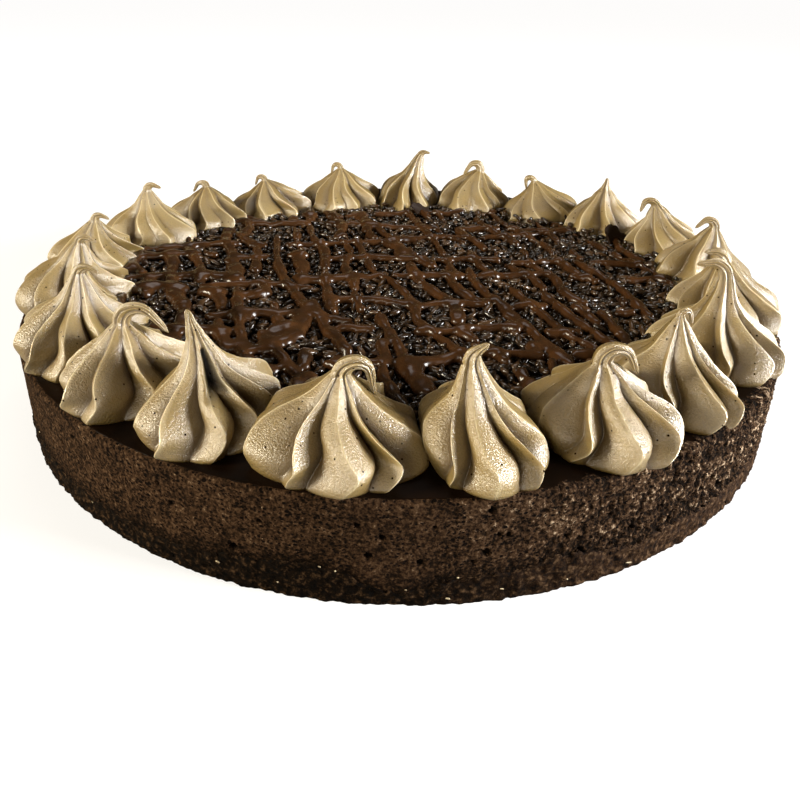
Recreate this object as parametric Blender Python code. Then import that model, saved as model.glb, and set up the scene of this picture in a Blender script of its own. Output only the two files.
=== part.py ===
"""A round chocolate mousse cake: crumb base, mousse, thin glaze, scattered topping and a ring of piped cream.

Run it with blender --background --python part.py, or from Blender's text editor.
Metres, +Z up. The cake stands on z = 0 with its axis on Z, and its front faces -Y.
"""

import math
import random

import bmesh
import bpy
from mathutils import Vector, noise
from mathutils.geometry import delaunay_2d_cdt

MM = 0.001
GAP = 0.3 * MM

# Body of the cake, from its foot up
CAKE_RADIUS = 130 * MM
BODY_HEIGHT = 30 * MM
BASE_HEIGHT = 7 * MM
GLAZE_THICKNESS = 1.2 * MM
MOUSSE_TOP = BODY_HEIGHT - GLAZE_THICKNESS - GAP
SEGMENTS = 96

# Dark crumb base, whose upper edge runs unevenly round the side, and the rough side above it
BASE_EDGE_SWING = 2.6 * MM
BASE_EDGE_WAVE = 26 * MM
FLAT_CORE_RADIUS = 112 * MM
CRUMB_ROUGHNESS = 0.7 * MM
MOUSSE_ROUGHNESS = 0.45 * MM
ROUGHNESS_GRAIN = 6 * MM
BASE_FOOT_INSET = 0.4 * MM
BASE_MIDDLE = 2.6 * MM
MOUSSE_RINGS = (14 * MM, 21.5 * MM)
MOUSSE_CHAMFER = 0.5 * MM
GLAZE_INSET = 0.8 * MM
SHARP_ANGLE = 35

# Piped cream: each rosette is a nine-lobed star section, plump below and drawn up into a thin tip
STAR_LOBES = 9
NECK_RADIUS = 2.7 * MM
NECK_VALLEY = 0.8
TIP_SIDES = 6
# The tip curls over in this share of its length, and runs straight after it
CURL_SHARE = 0.6
# A curled neck is at most this share of the radius that it curls to
SLIMMEST_CURL = 0.9
# Rosettes are piped this much too wide for their room, and flatten where they meet
NEIGHBOUR_PRESS = 1.28
LARGEST_TWIST = 14
TWIST_SEED = 50
SPINE_STEPS = 40

# Body of a rosette, from its foot: height in mm, share of the foot's reach at a ridge and in a valley
BODY_OUTLINE = (
    (0.0, 0.95, 0.84),
    (2.5, 1.00, 0.76),
    (6.5, 0.98, 0.56),
    (9.5, 0.87, 0.44),
    (12.0, 0.68, 0.37),
    (14.2, 0.46, 0.31),
    (17.0, 0.29, 0.24),
)
# A rosette lower than this in mm has a body that is lower in the same measure
FULL_HEIGHT = 22
# Tip above the body, drawn with fewer sides: share of the tip's length, share of the neck's radius
TIP_OUTLINE = ((0.18, 0.88), (0.38, 0.70), (0.60, 0.50), (0.82, 0.36))

# One row for each rosette, counter-clockwise from the front. Angles in degrees, lengths in mm:
# angle round the cake, angle where the next rosette begins, nearest and farthest reach from the cake's axis,
# height, heading of the tip, lean at the neck, length of the tip, how far the tip curls over
ROSETTES = (
    (263.0, 272.9, 90.0, 132.0, 23.4, 0, 4, 15.5, 165),
    (279.9, 287.0, 91.0, 132.0, 28.7, 0, -4, 7.0, 60),
    (296.6, 303.8, 91.0, 132.5, 23.0, 0, -6, 15, 155),
    (311.0, 319.0, 91.0, 132.0, 25.2, 0, -2, 7, 170),
    (327.4, 335.8, 92.0, 131.0, 29.0, 180, 4, 11, 90),
    (344.4, 352.4, 94.0, 132.5, 22.5, 180, 4, 8, 90),
    (0.8, 9.0, 96.0, 132.0, 24.0, 180, -13, 10, 140),
    (17.5, 24.8, 97.0, 130.0, 22.6, 180, 12, 10, 140),
    (33.8, 41.0, 89.0, 127.0, 25.2, 0, 4, 4.5, 0),
    (50.4, 59.8, 83.0, 123.5, 19.6, 180, 13, 9, 160),
    (69.5, 79.1, 78.0, 121.0, 22.8, 180, -13, 13, 160),
    (88.0, 96.8, 73.0, 118.5, 27.3, 0, 22, 5, 80),
    (107.8, 118.5, 75.0, 119.0, 21.0, 180, 3, 9, 165),
    (128.8, 138.2, 79.0, 121.0, 18.2, 180, 9, 8, 150),
    (146.0, 153.8, 86.0, 125.5, 19.5, 180, 3, 9, 150),
    (161.5, 169.4, 91.0, 129.5, 24.2, 0, 2, 7, 110),
    (177.6, 186.2, 99.0, 132.5, 20.4, 0, 6, 7, 110),
    (194.6, 204.0, 95.0, 132.5, 23.4, 0, 10, 7, 110),
    (213.6, 222.6, 92.0, 132.0, 25.4, 0, 8, 7, 110),
    (229.8, 237.8, 91.0, 131.0, 23.5, 0, 0, 17, 140),
    (244.8, 253.2, 89.0, 130.5, 30.3, 180, 9, 7, 0),
)
# How far a tip stands aside from the middle of its rosette, by row above: to the right and to the back, in mm
TIP_ASIDE = {
    1: (-2.3, 0), 3: (0.8, 2.6), 4: (2.2, 4.5), 5: (-1.3, 4.0), 6: (-1.3, 2.3), 7: (-3.2, 0),
    8: (-1.4, 0), 9: (-3.2, 0), 14: (1.9, 0), 17: (2.4, 0), 18: (-1.2, 1.6), 19: (-1.0, 0.8), 20: (-1.0, 0.5),
}
TIP_ASIDE_BEND = 1.6
# Measured ridges of the front rosettes, by row above: heading in degrees, share of the reach,
# depth of the valley after it, and where that valley lies on the way to the next ridge
RIDGES = {
    0: (
        (200, 1.07, 0.7, 0.8), (240, 0.97, 1.0, 0.28), (273, 1.0, 0.95, 0.72),
        (299, 1.0, 1.0, 0.25), (338, 1.07, 0.35, 0.6), (17, 0.95, 1.0, 0.5),
        (62, 1.0, 1.0, 0.5), (108, 1.0, 1.0, 0.5), (155, 1.0, 0.3, 0.5),
    ),
    1: (
        (195, 1.06, 0.7, 0.78), (236, 0.97, 1.0, 0.3), (274, 1.0, 0.95, 0.74),
        (311, 1.04, 1.0, 0.25), (344, 1.06, 0.4, 0.6), (25, 1.0, 1.0, 0.5),
        (68, 1.0, 1.0, 0.5), (112, 1.0, 1.0, 0.5), (155, 1.0, 0.3, 0.5),
    ),
    2: (
        (188, 1.02, 0.6, 0.8), (234, 0.95, 1.0, 0.3), (274, 1.0, 0.95, 0.7),
        (305, 1.02, 1.0, 0.4), (332, 1.02, 1.0, 0.5), (8, 0.95, 1.0, 0.5),
        (50, 1.0, 1.0, 0.5), (95, 1.0, 1.0, 0.5), (140, 1.0, 0.3, 0.5),
    ),
    3: (
        (195, 1.02, 0.6, 0.8), (240, 0.97, 1.0, 0.3), (277, 1.0, 0.95, 0.7),
        (307, 0.96, 1.0, 0.4), (335, 0.84, 1.0, 0.5), (15, 0.8, 1.0, 0.5),
        (55, 0.9, 1.0, 0.5), (98, 1.0, 1.0, 0.5), (145, 1.0, 0.3, 0.5),
    ),
    4: (
        (205, 1.0, 0.7, 0.75), (250, 1.0, 1.0, 0.35), (290, 1.0, 0.95, 0.65),
        (318, 1.0, 1.0, 0.4), (345, 0.95, 1.0, 0.5), (20, 0.92, 1.0, 0.5),
        (62, 1.0, 1.0, 0.5), (108, 1.0, 1.0, 0.5), (155, 1.0, 0.9, 0.5),
    ),
    18: (
        (200, 0.94, 0.8, 0.5), (236, 1.02, 0.9, 0.4), (268, 1.1, 1.0, 0.6),
        (305, 1.06, 1.0, 0.5), (345, 0.95, 1.0, 0.5), (25, 0.95, 1.0, 0.5),
        (70, 1.0, 1.0, 0.5), (115, 1.0, 1.0, 0.5), (158, 1.0, 0.9, 0.5),
    ),
    19: (
        (186, 0.93, 0.8, 0.55), (221, 0.97, 0.9, 0.6), (257, 1.06, 1.0, 0.6),
        (302, 1.06, 1.0, 0.55), (343, 0.97, 1.0, 0.5), (26, 0.95, 1.0, 0.5),
        (75, 1.0, 1.0, 0.5), (120, 1.0, 1.0, 0.5), (163, 1.0, 0.9, 0.5),
    ),
    20: (
        (196, 0.97, 0.8, 0.78), (243, 1.0, 0.95, 0.62), (286, 1.07, 1.0, 0.45),
        (313, 1.05, 1.0, 0.5), (342, 1.0, 0.9, 0.5), (12, 0.95, 0.9, 0.5),
        (45, 1.0, 1.0, 0.5), (95, 1.0, 1.0, 0.5), (150, 1.0, 0.35, 0.5),
    ),
}

# Heap of chocolate granules with drizzle, inside the ring of cream
HEAP_HEIGHT = 2.8 * MM
HEAP_EDGE_HEIGHT = 1.6 * MM
HEAP_OUTLINE_POINTS = 126
HEAP_LARGEST_RADIUS = 106 * MM
HEAP_SHOULDER = 9 * MM
GRAIN_SPACING = 4.8 * MM
GRAIN_SWING = 0.8 * MM
DRIZZLE_RISE = 1.1 * MM
DRIZZLE_WIDTH = 4.5 * MM
DRIZZLE_WAVE = 40 * MM
# Each family of drizzle lines: heading in degrees and distance between its lines
DRIZZLE = ((-72, 14 * MM), (5, 18 * MM))
GRANULES = 40
GRANULE_LENGTH = 6.5 * MM
GRANULE_THICKNESS = 3.2 * MM
GRANULE_LIFT = 0.5 * MM
GRANULE_MARGIN = 6 * MM

# Base colour, roughness
CRUMB = ("dark_crumb", (0.020, 0.013, 0.010), 0.9)
MOUSSE = ("chocolate_mousse", (0.060, 0.036, 0.024), 0.85)
GLAZE = ("dark_glaze", (0.035, 0.018, 0.010), 0.25)
TOPPING = ("chocolate_granules", (0.030, 0.016, 0.010), 0.3)
CREAM = ("mocha_cream", (0.42, 0.30, 0.17), 0.5)


def clear_scene():
    for obj in list(bpy.data.objects):
        bpy.data.objects.remove(obj)


def food_material(name, colour, roughness):
    found = bpy.data.materials.get(name)
    if found:
        return found
    material = bpy.data.materials.new(name)
    material.use_nodes = True
    shader = material.node_tree.nodes["Principled BSDF"]
    shader.inputs["Base Color"].default_value = (*colour, 1)
    shader.inputs["Roughness"].default_value = roughness
    shader.inputs["Metallic"].default_value = 0
    return material


def add_object(name, shape, material):
    mesh = bpy.data.meshes.new(name)
    bmesh.ops.recalc_face_normals(shape, faces=shape.faces)
    shape.to_mesh(mesh)
    shape.free()
    mesh.materials.append(food_material(*material))
    mesh.shade_smooth()
    mesh.set_sharp_from_angle(angle=math.radians(SHARP_ANGLE))
    obj = bpy.data.objects.new(name, mesh)
    bpy.context.scene.collection.objects.link(obj)
    return obj


def smoothstep(low, high, value):
    share = min(1, max(0, (value - low) / (high - low)))
    return share * share * (3 - 2 * share)


def round_about(radius, angle, height):
    return Vector((radius * math.cos(angle), radius * math.sin(angle), height))


def reach(ring):
    return sum(point.co.xy.length for point in ring)


def add_ring(shape, points):
    return [shape.verts.new(point) for point in points]


def join_rings(shape, lower, upper):
    """Triangles between two rings of equal count, with every diagonal running out and up alike."""
    count = len(lower)
    outward = reach(lower) < reach(upper)
    for i in range(count):
        a, b = lower[i], lower[(i + 1) % count]
        c, d = upper[(i + 1) % count], upper[i]
        if outward:
            shape.faces.new((a, b, c))
            shape.faces.new((a, c, d))
        else:
            shape.faces.new((a, b, d))
            shape.faces.new((b, c, d))


def join_rings_by_threes(shape, lower, upper):
    """Triangles between a ring and one with a third of its points."""
    count = len(lower)
    for j, point in enumerate(upper):
        a, b, c, d = (lower[(3 * j + k) % count] for k in range(4))
        following = upper[(j + 1) % len(upper)]
        shape.faces.new((a, b, point))
        shape.faces.new((b, c, point))
        shape.faces.new((c, following, point))
        shape.faces.new((c, d, following))


def fan(shape, ring, centre):
    for i, point in enumerate(ring):
        shape.faces.new((point, ring[(i + 1) % len(ring)], centre))


def wall_radius(angle, height, roughness):
    grain = round_about(CAKE_RADIUS, angle, height) / ROUGHNESS_GRAIN
    return CAKE_RADIUS - roughness + roughness * noise.noise(grain)


def base_edge(angle):
    """Height at which crumb meets mousse on the cake's side."""
    along = round_about(CAKE_RADIUS / BASE_EDGE_WAVE, angle, 0)
    fine = round_about(CAKE_RADIUS / ROUGHNESS_GRAIN, angle, 9)
    swing = noise.noise(along) + 0.4 * noise.noise(fine)
    return BASE_HEIGHT + BASE_EDGE_SWING * swing


def layer(name, levels, core_low, core_high, material):
    """A disc through the cake. Each level gives one ring's radius and height at an angle, foot first."""
    shape = bmesh.new()
    angles = [math.tau * i / SEGMENTS for i in range(SEGMENTS)]
    rings = []
    for level in levels:
        rings.append(add_ring(shape, [round_about(level(a)[0], a, level(a)[1]) for a in angles]))
    for height, at_start in ((core_low, True), (core_high, False)):
        if height is None:
            continue
        core = add_ring(shape, [round_about(FLAT_CORE_RADIUS, a, height) for a in angles])
        rings.insert(0 if at_start else len(rings), core)
    for lower, upper in zip(rings, rings[1:]):
        join_rings(shape, lower, upper)
    for ring in (rings[0], rings[-1]):
        centre = shape.verts.new((0, 0, ring[0].co.z))
        fan(shape, ring, centre)
    return add_object(name, shape, material)


def make_crumb_base():
    levels = (
        lambda a: (wall_radius(a, 0, CRUMB_ROUGHNESS) - BASE_FOOT_INSET, 0),
        lambda a: (wall_radius(a, BASE_MIDDLE, CRUMB_ROUGHNESS), BASE_MIDDLE),
        lambda a: (wall_radius(a, base_edge(a), CRUMB_ROUGHNESS), base_edge(a)),
    )
    return layer("crumb_base", levels, None, BASE_HEIGHT, CRUMB)


def make_mousse():
    levels = [lambda a: (wall_radius(a, base_edge(a), CRUMB_ROUGHNESS), base_edge(a) + GAP)]
    for height in MOUSSE_RINGS:
        levels.append(lambda a, z=height: (wall_radius(a, z, MOUSSE_ROUGHNESS), z))
    levels.append(lambda a: (wall_radius(a, MOUSSE_TOP, MOUSSE_ROUGHNESS), MOUSSE_TOP - MOUSSE_CHAMFER))
    levels.append(lambda a: (wall_radius(a, MOUSSE_TOP, MOUSSE_ROUGHNESS) - MOUSSE_CHAMFER, MOUSSE_TOP))
    return layer("mousse_layer", levels, BASE_HEIGHT + GAP, None, MOUSSE)


def make_glaze():
    low = MOUSSE_TOP + GAP
    levels = (
        lambda a: (wall_radius(a, MOUSSE_TOP, MOUSSE_ROUGHNESS) - GLAZE_INSET, low),
        lambda a: (wall_radius(a, MOUSSE_TOP, MOUSSE_ROUGHNESS) - GLAZE_INSET, BODY_HEIGHT),
    )
    return layer("chocolate_glaze", levels, None, None, GLAZE)


def tilts(body_length, tip_length, lean, curl):
    """Steps up a rosette's middle: share along the body, then 1 to 2 along the tip, with length and tilt."""
    for i in range(SPINE_STEPS):
        share = (i + 0.5) / SPINE_STEPS
        yield (i + 1) / SPINE_STEPS, body_length / SPINE_STEPS, lean * share
    for i in range(SPINE_STEPS):
        share = (i + 0.5) / SPINE_STEPS
        tilt = lean + curl * min(1, share / CURL_SHARE)
        yield 1 + (i + 1) / SPINE_STEPS, tip_length / SPINE_STEPS, tilt


def spine(height, heading, lean, tip_length, curl):
    """Places and directions up the middle, at each ring and at the end of the tip."""
    away = round_about(1, heading, 0)

    def follow(body_length):
        point = Vector((0, 0, 0))
        path = [(0, point, Vector((0, 0, 1)))]
        for share, step, tilt in tilts(body_length, tip_length, lean, curl):
            direction = Vector((0, 0, math.cos(tilt))) + away * math.sin(tilt)
            point = point + direction * step
            path.append((share, point, direction))
        return path

    body_length = height
    for _ in range(6):
        body_length += height - max(point.z for _, point, _ in follow(body_length))
    path = follow(body_length)
    squat = min(1, height / (FULL_HEIGHT * MM))
    shares = [row[0] * MM * squat / body_length for row in BODY_OUTLINE] + [1]
    shares += [1 + share for share, _ in TIP_OUTLINE] + [2]
    return [min(path, key=lambda place: abs(place[0] - share)) for share in shares]


def neck_radius(tip_length, curl):
    if not curl:
        return NECK_RADIUS
    return min(NECK_RADIUS, SLIMMEST_CURL * CURL_SHARE * tip_length / curl)


def star(index):
    """Heading and reach of each ridge of a rosette, with the depth and place of the valley after it."""
    if index in RIDGES:
        return [(math.radians(heading), *others) for heading, *others in RIDGES[index]]
    draw = random.Random(index + 1)
    widths = [draw.uniform(0.7, 1.3) for _ in range(STAR_LOBES)]
    heading = draw.uniform(0, math.tau / STAR_LOBES)
    ridges = []
    for width in widths:
        ridges.append((heading, draw.uniform(0.93, 1.04), draw.uniform(0.7, 1.1), draw.uniform(0.3, 0.7)))
        heading += math.tau * width / sum(widths)
    return ridges


def star_section(ridges, ridge_reach, valley_reach):
    """Heading and reach of each ridge and valley in turn, at one level."""
    for k, (heading, extent, depth, place) in enumerate(ridges):
        following = ridges[(k + 1) % STAR_LOBES]
        width = (following[0] - heading) % math.tau
        valley = ridge_reach - (ridge_reach - valley_reach) * depth
        yield heading, ridge_reach * extent
        yield heading + width * place, valley * (extent + following[1]) / 2


def tip_aside(index, height, place):
    """How far a place on a rosette has moved aside with its tip."""
    right, back = TIP_ASIDE.get(index, (0, 0))
    return Vector((right, back, 0)) * MM * max(0, place.z / height) ** TIP_ASIDE_BEND


def keep_between(point, sides):
    """Moves a point in, off the planes through the cake's axis that part a rosette from its neighbours."""
    for side, inward in sides:
        normal = round_about(1, side + inward * math.pi / 2, 0)
        short = GAP / 2 + 0.05 * MM - point.dot(normal)
        if short > 0:
            point = point + normal * short
    return point


def rosette_rings(index):
    """The rings of points of one rosette from its foot up, and the end of its tip."""
    angle, after, near, far, height, heading, lean, tip_length, curl = ROSETTES[index]
    before = ROSETTES[index - 1][1]
    angle, after, before = math.radians(angle), math.radians(after), math.radians(before)
    half_width = ((after - before) % math.tau) / 2
    ridges = star(index)
    twist = math.radians(random.Random(TWIST_SEED + index).uniform(-LARGEST_TWIST, LARGEST_TWIST))
    tip_length, curl = tip_length * MM, math.radians(curl)
    path = spine(height * MM, math.radians(heading), math.radians(lean), tip_length, curl)
    neck = neck_radius(tip_length, curl)
    radius, out_reach = (far + near) / 2 * MM, (far - near) / 2 * MM
    foot = round_about(radius, angle, BODY_HEIGHT + GAP)
    out, along = round_about(1, angle, 0), round_about(1, angle + math.pi / 2, 0)
    side_reach = radius * math.sin(half_width) * NEIGHBOUR_PRESS
    rings = []
    for level, (share, middle, direction) in enumerate(path[:-1]):
        turned = Vector((0, 0, 1)).rotation_difference(direction)
        reaches = (neck, neck)
        if level < len(BODY_OUTLINE):
            reaches = (out_reach, side_reach)
            section = list(star_section(ridges, *BODY_OUTLINE[level][1:]))
        elif level == len(BODY_OUTLINE):
            section = list(star_section(ridges, 1, NECK_VALLEY))
        else:
            slim = TIP_OUTLINE[level - len(BODY_OUTLINE) - 1][1]
            section = [(corner, slim) for corner, _ in star_section(ridges, 1, 1)][::3]
        ring = []
        for corner, extent in section:
            place = round_about(extent, corner - angle + twist * min(1, share), 0)
            place = out * place.x * reaches[0] + along * place.y * reaches[1]
            place.rotate(turned)
            place += middle
            place += tip_aside(index, height * MM, place)
            ring.append(keep_between(foot + place, ((after, -1), (before, 1))))
        rings.append(ring)
    tip = path[-1][1]
    return rings, foot + tip + tip_aside(index, height * MM, tip)


def make_rosette(index, rings, tip):
    shape = bmesh.new()
    made = [add_ring(shape, ring) for ring in rings]
    for lower, upper in zip(made, made[1:]):
        if len(lower) == len(upper):
            join_rings(shape, lower, upper)
        else:
            join_rings_by_threes(shape, lower, upper)
    fan(shape, made[-1], shape.verts.new(tip))
    middle = sum((point.co for point in made[0]), Vector()) / len(made[0])
    fan(shape, made[0], shape.verts.new(middle))
    return add_object(f"rosette_{index + 1:02d}", shape, CREAM)


def heap_outline(all_rings):
    """Radius of the topping's edge at each angle: just inside the feet of the cream."""
    count = HEAP_OUTLINE_POINTS
    tallest = BODY_HEIGHT + HEAP_HEIGHT + GRAIN_SWING + DRIZZLE_RISE
    nearest = [HEAP_LARGEST_RADIUS] * count
    samples = 6
    for rings in all_rings:
        for ring in rings:
            if len(ring) == TIP_SIDES or min(p.z for p in ring) > tallest + 3 * MM:
                continue
            for start, end in zip(ring, ring[1:] + ring[:1]):
                for k in range(samples):
                    point = start.lerp(end, k / samples)
                    place = round(math.atan2(point.y, point.x) / math.tau * count) % count
                    nearest[place] = min(nearest[place], point.xy.length)
    clearance = 2 * GAP
    return [min(nearest[i - 1], nearest[i], nearest[(i + 1) % count]) - clearance for i in range(count)]


def outline_at(outline, angle):
    place = (angle % math.tau) / math.tau * len(outline)
    low = int(place) % len(outline)
    share = place - int(place)
    return outline[low] * (1 - share) + outline[(low + 1) % len(outline)] * share


def drizzle_rise(point):
    """How much the strings of chocolate lift the heap at a place."""
    rise = 0
    for heading, spacing in DRIZZLE:
        across = Vector((-math.sin(math.radians(heading)), math.cos(math.radians(heading))))
        wander = 0.25 * spacing * noise.noise(Vector((point.x, point.y, heading * MM)) / DRIZZLE_WAVE)
        place = (point.dot(across) + wander) % spacing
        off = min(place, spacing - place)
        rise = max(rise, DRIZZLE_RISE * (1 - smoothstep(DRIZZLE_WIDTH / 4, DRIZZLE_WIDTH * 0.7, off)))
    return rise


def heap_height(point, outline, draw):
    edge = outline_at(outline, math.atan2(point.y, point.x))
    inside = smoothstep(0, HEAP_SHOULDER, edge - point.length)
    base = HEAP_EDGE_HEIGHT + (HEAP_HEIGHT - HEAP_EDGE_HEIGHT) * inside
    return base + inside * (draw.uniform(-GRAIN_SWING, GRAIN_SWING) + drizzle_rise(point))


def make_heap(outline):
    """The granules as one bumpy slab, with the drizzle as ridges on it."""
    draw = random.Random(5)
    floor = BODY_HEIGHT + GAP
    count = len(outline)
    rim = [round_about(outline[i], math.tau * i / count, 0).xy for i in range(count)]
    places = list(rim)
    rows = int(2 * CAKE_RADIUS / (GRAIN_SPACING * math.sin(math.pi / 3)))
    for row in range(rows):
        y = -CAKE_RADIUS + row * GRAIN_SPACING * math.sin(math.pi / 3)
        for column in range(int(2 * CAKE_RADIUS / GRAIN_SPACING)):
            x = -CAKE_RADIUS + (column + 0.5 * (row % 2)) * GRAIN_SPACING
            jitter = Vector((draw.uniform(-1, 1), draw.uniform(-1, 1))) * GRAIN_SPACING / 4
            place = Vector((x, y)) + jitter
            if place.length < outline_at(outline, math.atan2(y, x)) - GRAIN_SPACING * 0.7:
                places.append(place)
    edges = [(i, (i + 1) % count) for i in range(count)]
    points, _, triangles, *_ = delaunay_2d_cdt(places, edges, [], 1, 1e-7)
    shape = bmesh.new()
    top = [shape.verts.new((p.x, p.y, floor + heap_height(p, outline, draw))) for p in points]
    for triangle in triangles:
        shape.faces.new([top[i] for i in triangle])
    low = add_ring(shape, [(p.x, p.y, floor) for p in rim])
    high = top[:count]
    join_rings(shape, low, high)
    fan(shape, low, shape.verts.new((0, 0, floor)))
    return add_object("chocolate_topping", shape, TOPPING)


def surface_at(heap, place):
    """Point on top of the heap over a place."""
    above = place + Vector((0, 0, 2 * BODY_HEIGHT))
    _, point, _, _ = heap.ray_cast(above, Vector((0, 0, -1)))
    return point


def add_granules(heap, outline):
    """Fuses the largest bits of chocolate to the heap, spread evenly by a sunflower spiral."""
    draw = random.Random(11)
    bits = bpy.data.collections.new("bits")
    bpy.context.scene.collection.children.link(bits)
    for i in range(GRANULES):
        angle = i * math.pi * (3 - math.sqrt(5))
        limit = outline_at(outline, angle) - GRANULE_MARGIN
        radius = limit * math.sqrt((i + 0.5) / GRANULES)
        length = GRANULE_LENGTH * draw.uniform(0.7, 1.15)
        thickness = GRANULE_THICKNESS * draw.uniform(0.8, 1.15)
        shape = bmesh.new()
        bmesh.ops.create_icosphere(shape, subdivisions=1, radius=0.5)
        bmesh.ops.scale(shape, vec=(length, thickness, thickness), verts=shape.verts)
        bit = add_object(f"bit_{i:02d}", shape, TOPPING)
        bit.rotation_euler = (draw.uniform(-0.5, 0.5), draw.uniform(-0.35, 0.35), draw.uniform(0, math.pi))
        bit.location = surface_at(heap, round_about(radius, angle, 0)) + Vector((0, 0, GRANULE_LIFT))
        bpy.context.scene.collection.objects.unlink(bit)
        bits.objects.link(bit)
    union = heap.modifiers.new("bits", "BOOLEAN")
    union.operation = "UNION"
    union.operand_type = "COLLECTION"
    union.collection = bits
    bpy.context.view_layer.objects.active = heap
    bpy.ops.object.modifier_apply(modifier=union.name)
    for bit in list(bits.objects):
        bpy.data.objects.remove(bit)
    bpy.data.collections.remove(bits)


def make_cake():
    clear_scene()
    make_crumb_base()
    make_mousse()
    make_glaze()
    all_rings = []
    for index in range(len(ROSETTES)):
        rings, tip = rosette_rings(index)
        make_rosette(index, rings, tip)
        all_rings.append(rings)
    outline = heap_outline(all_rings)
    heap = make_heap(outline)
    add_granules(heap, outline)


make_cake()
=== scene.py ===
"""Looks of a round chocolate mousse cake: crumb, porous mousse, glaze, granules, drizzle and piped cream.

Metres, +Z up, front towards -Y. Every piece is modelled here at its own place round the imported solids.
"""

import math
import random

import bpy
import numpy as np
from mathutils import Euler, Matrix, Vector, noise


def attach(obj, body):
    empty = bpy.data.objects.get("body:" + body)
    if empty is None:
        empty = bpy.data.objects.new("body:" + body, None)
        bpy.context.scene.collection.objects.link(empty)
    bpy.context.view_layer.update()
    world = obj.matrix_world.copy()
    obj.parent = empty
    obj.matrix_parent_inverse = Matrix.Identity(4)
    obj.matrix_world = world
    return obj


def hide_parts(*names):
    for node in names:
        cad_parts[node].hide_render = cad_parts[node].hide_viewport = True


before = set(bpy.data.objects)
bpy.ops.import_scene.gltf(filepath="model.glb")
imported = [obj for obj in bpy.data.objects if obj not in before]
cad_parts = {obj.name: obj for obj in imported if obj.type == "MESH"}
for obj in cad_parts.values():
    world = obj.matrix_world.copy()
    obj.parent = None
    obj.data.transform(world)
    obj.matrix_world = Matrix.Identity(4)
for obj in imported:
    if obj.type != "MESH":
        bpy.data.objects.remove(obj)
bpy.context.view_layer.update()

MM = 0.001

# Slot that a loose piece is in, and the node that it dresses
CRUMB = ("dark_crumb", "crumb_base")
TOPPING = ("chocolate_granules", "chocolate_topping")

# Body of the cake, as the solids have it, and the radius at which its sides close over the core
CAKE_RADIUS = 130 * MM
BODY_HEIGHT = 30 * MM
BASE_HEIGHT = 7 * MM
GLAZE_THICKNESS = 1.2 * MM
GLAZE_INSET = 0.9 * MM
BASE_EDGE_SWING = 2.6 * MM
BASE_EDGE_WAVE = 26 * MM
ROUGHNESS_GRAIN = 6 * MM
MOUSSE_TOP = 28.7 * MM
CORE_RADIUS = 118 * MM
# Clumps of crumb on the base: how far they stand out, and their width in mm
CLUMP_HEIGHT = 0.6 * MM
CLUMP_WIDTH = 3.0
# Mousse: depth of its hollows, height of what stands out, and depth of a hole left by a larger bubble
HOLLOW_DEPTH = 1.3 * MM
LUMP_HEIGHT = 0.7 * MM
HOLE_DEPTH = 1.6 * MM
SMALL_HOLES = 60
STUCK_CRUMBS = 800

# Upper edge of the crumb as the front shows it: angle round the cake in degrees, height in mm
FRONT_BASE_EDGE = (
    (205, 7.0), (218, 8.5), (224, 7.0), (234, 6.5), (245, 6.0), (252, 7.5), (257, 9.0), (261, 10.8),
    (265, 8.0), (269, 3.2), (273, 4.5), (277, 7.0), (282, 7.5), (287, 10.5), (292, 8.5), (297, 6.0),
    (304, 7.5), (312, 6.0), (320, 7.5), (332, 7.0),
)

# Larger bubble holes in the mousse: angle round the cake in degrees, height and width in mm
MOUSSE_HOLES = (
    (253.2, 11.5, 1.2), (267.4, 14.5, 1.0), (272.5, 13.0, 0.9), (279.2, 15.0, 1.1), (289.5, 9.5, 2.0),
    (300, 16, 1.3), (236, 14, 0.8), (246, 19, 0.7), (311, 12, 1.4), (322, 18, 1.2),
)
# Pale crumbs on the side: angle round the cake in degrees, height, length and width in mm
PALE_CRUMBS = (
    (232.6, 6.5, 0.6, 0.3), (251.3, 6.0, 1.1, 0.4), (262.5, 10.7, 0.7, 0.3), (275.5, 2.4, 1.0, 0.4),
    (276.4, 8.6, 0.5, 0.3), (281.1, 3.9, 0.9, 0.3), (218.3, 12.4, 0.5, 0.3), (296.3, 2.4, 1.9, 0.35),
    (264.1, 9.9, 0.4, 0.3), (258.0, 4.1, 0.4, 0.3), (271.2, 5.3, 0.5, 0.25), (288.4, 3.2, 0.5, 0.3),
    (20.0, 6.0, 0.7, 0.4), (95.0, 4.0, 0.8, 0.4), (150.0, 8.0, 0.6, 0.4),
)

# Larger flakes: place and height above the glaze, length and width in mm, then yaw, pitch and roll in degrees
FLAKES = (
    (8.0, 71.5, 6.0, 10.0, 5.0, 12, 25, 60), (89.5, 39.0, 5.5, 14.0, 9.0, 25, 35, 70),
    (94.5, -26.5, 5.0, 5.0, 2.0, 80, 60, 30), (74.0, 61.5, 5.0, 6.5, 3.2, 30, 55, 50),
    (-95.5, -3.0, 4.5, 5.5, 2.6, 100, 60, 30), (-4.0, -74.2, 4.2, 5.2, 2.4, 15, 5, 20),
    (-5.6, -70.1, 4.2, 4.8, 2.3, -10, 0, 0),
)

# Where the random draws for each thing begin
SEEDS = {
    "twist": 50, "ridges": 1, "thinness": 400, "meeting": 300, "sway": 700, "holes": 77, "crumbs": 55,
    "strands": 21, "swell": 8, "long_granules": 31, "short_granules": 32,
}

# Camera that took the photograph, found from the outlines of the cake
LENS = 32.9
CAMERA_PLACE = (0, -0.2563, 0.1322)
CAMERA_DOWN = 24.56
CAMERA_ROLL = 1.27
CAMERA_SHIFT_Y = -0.1076

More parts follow.
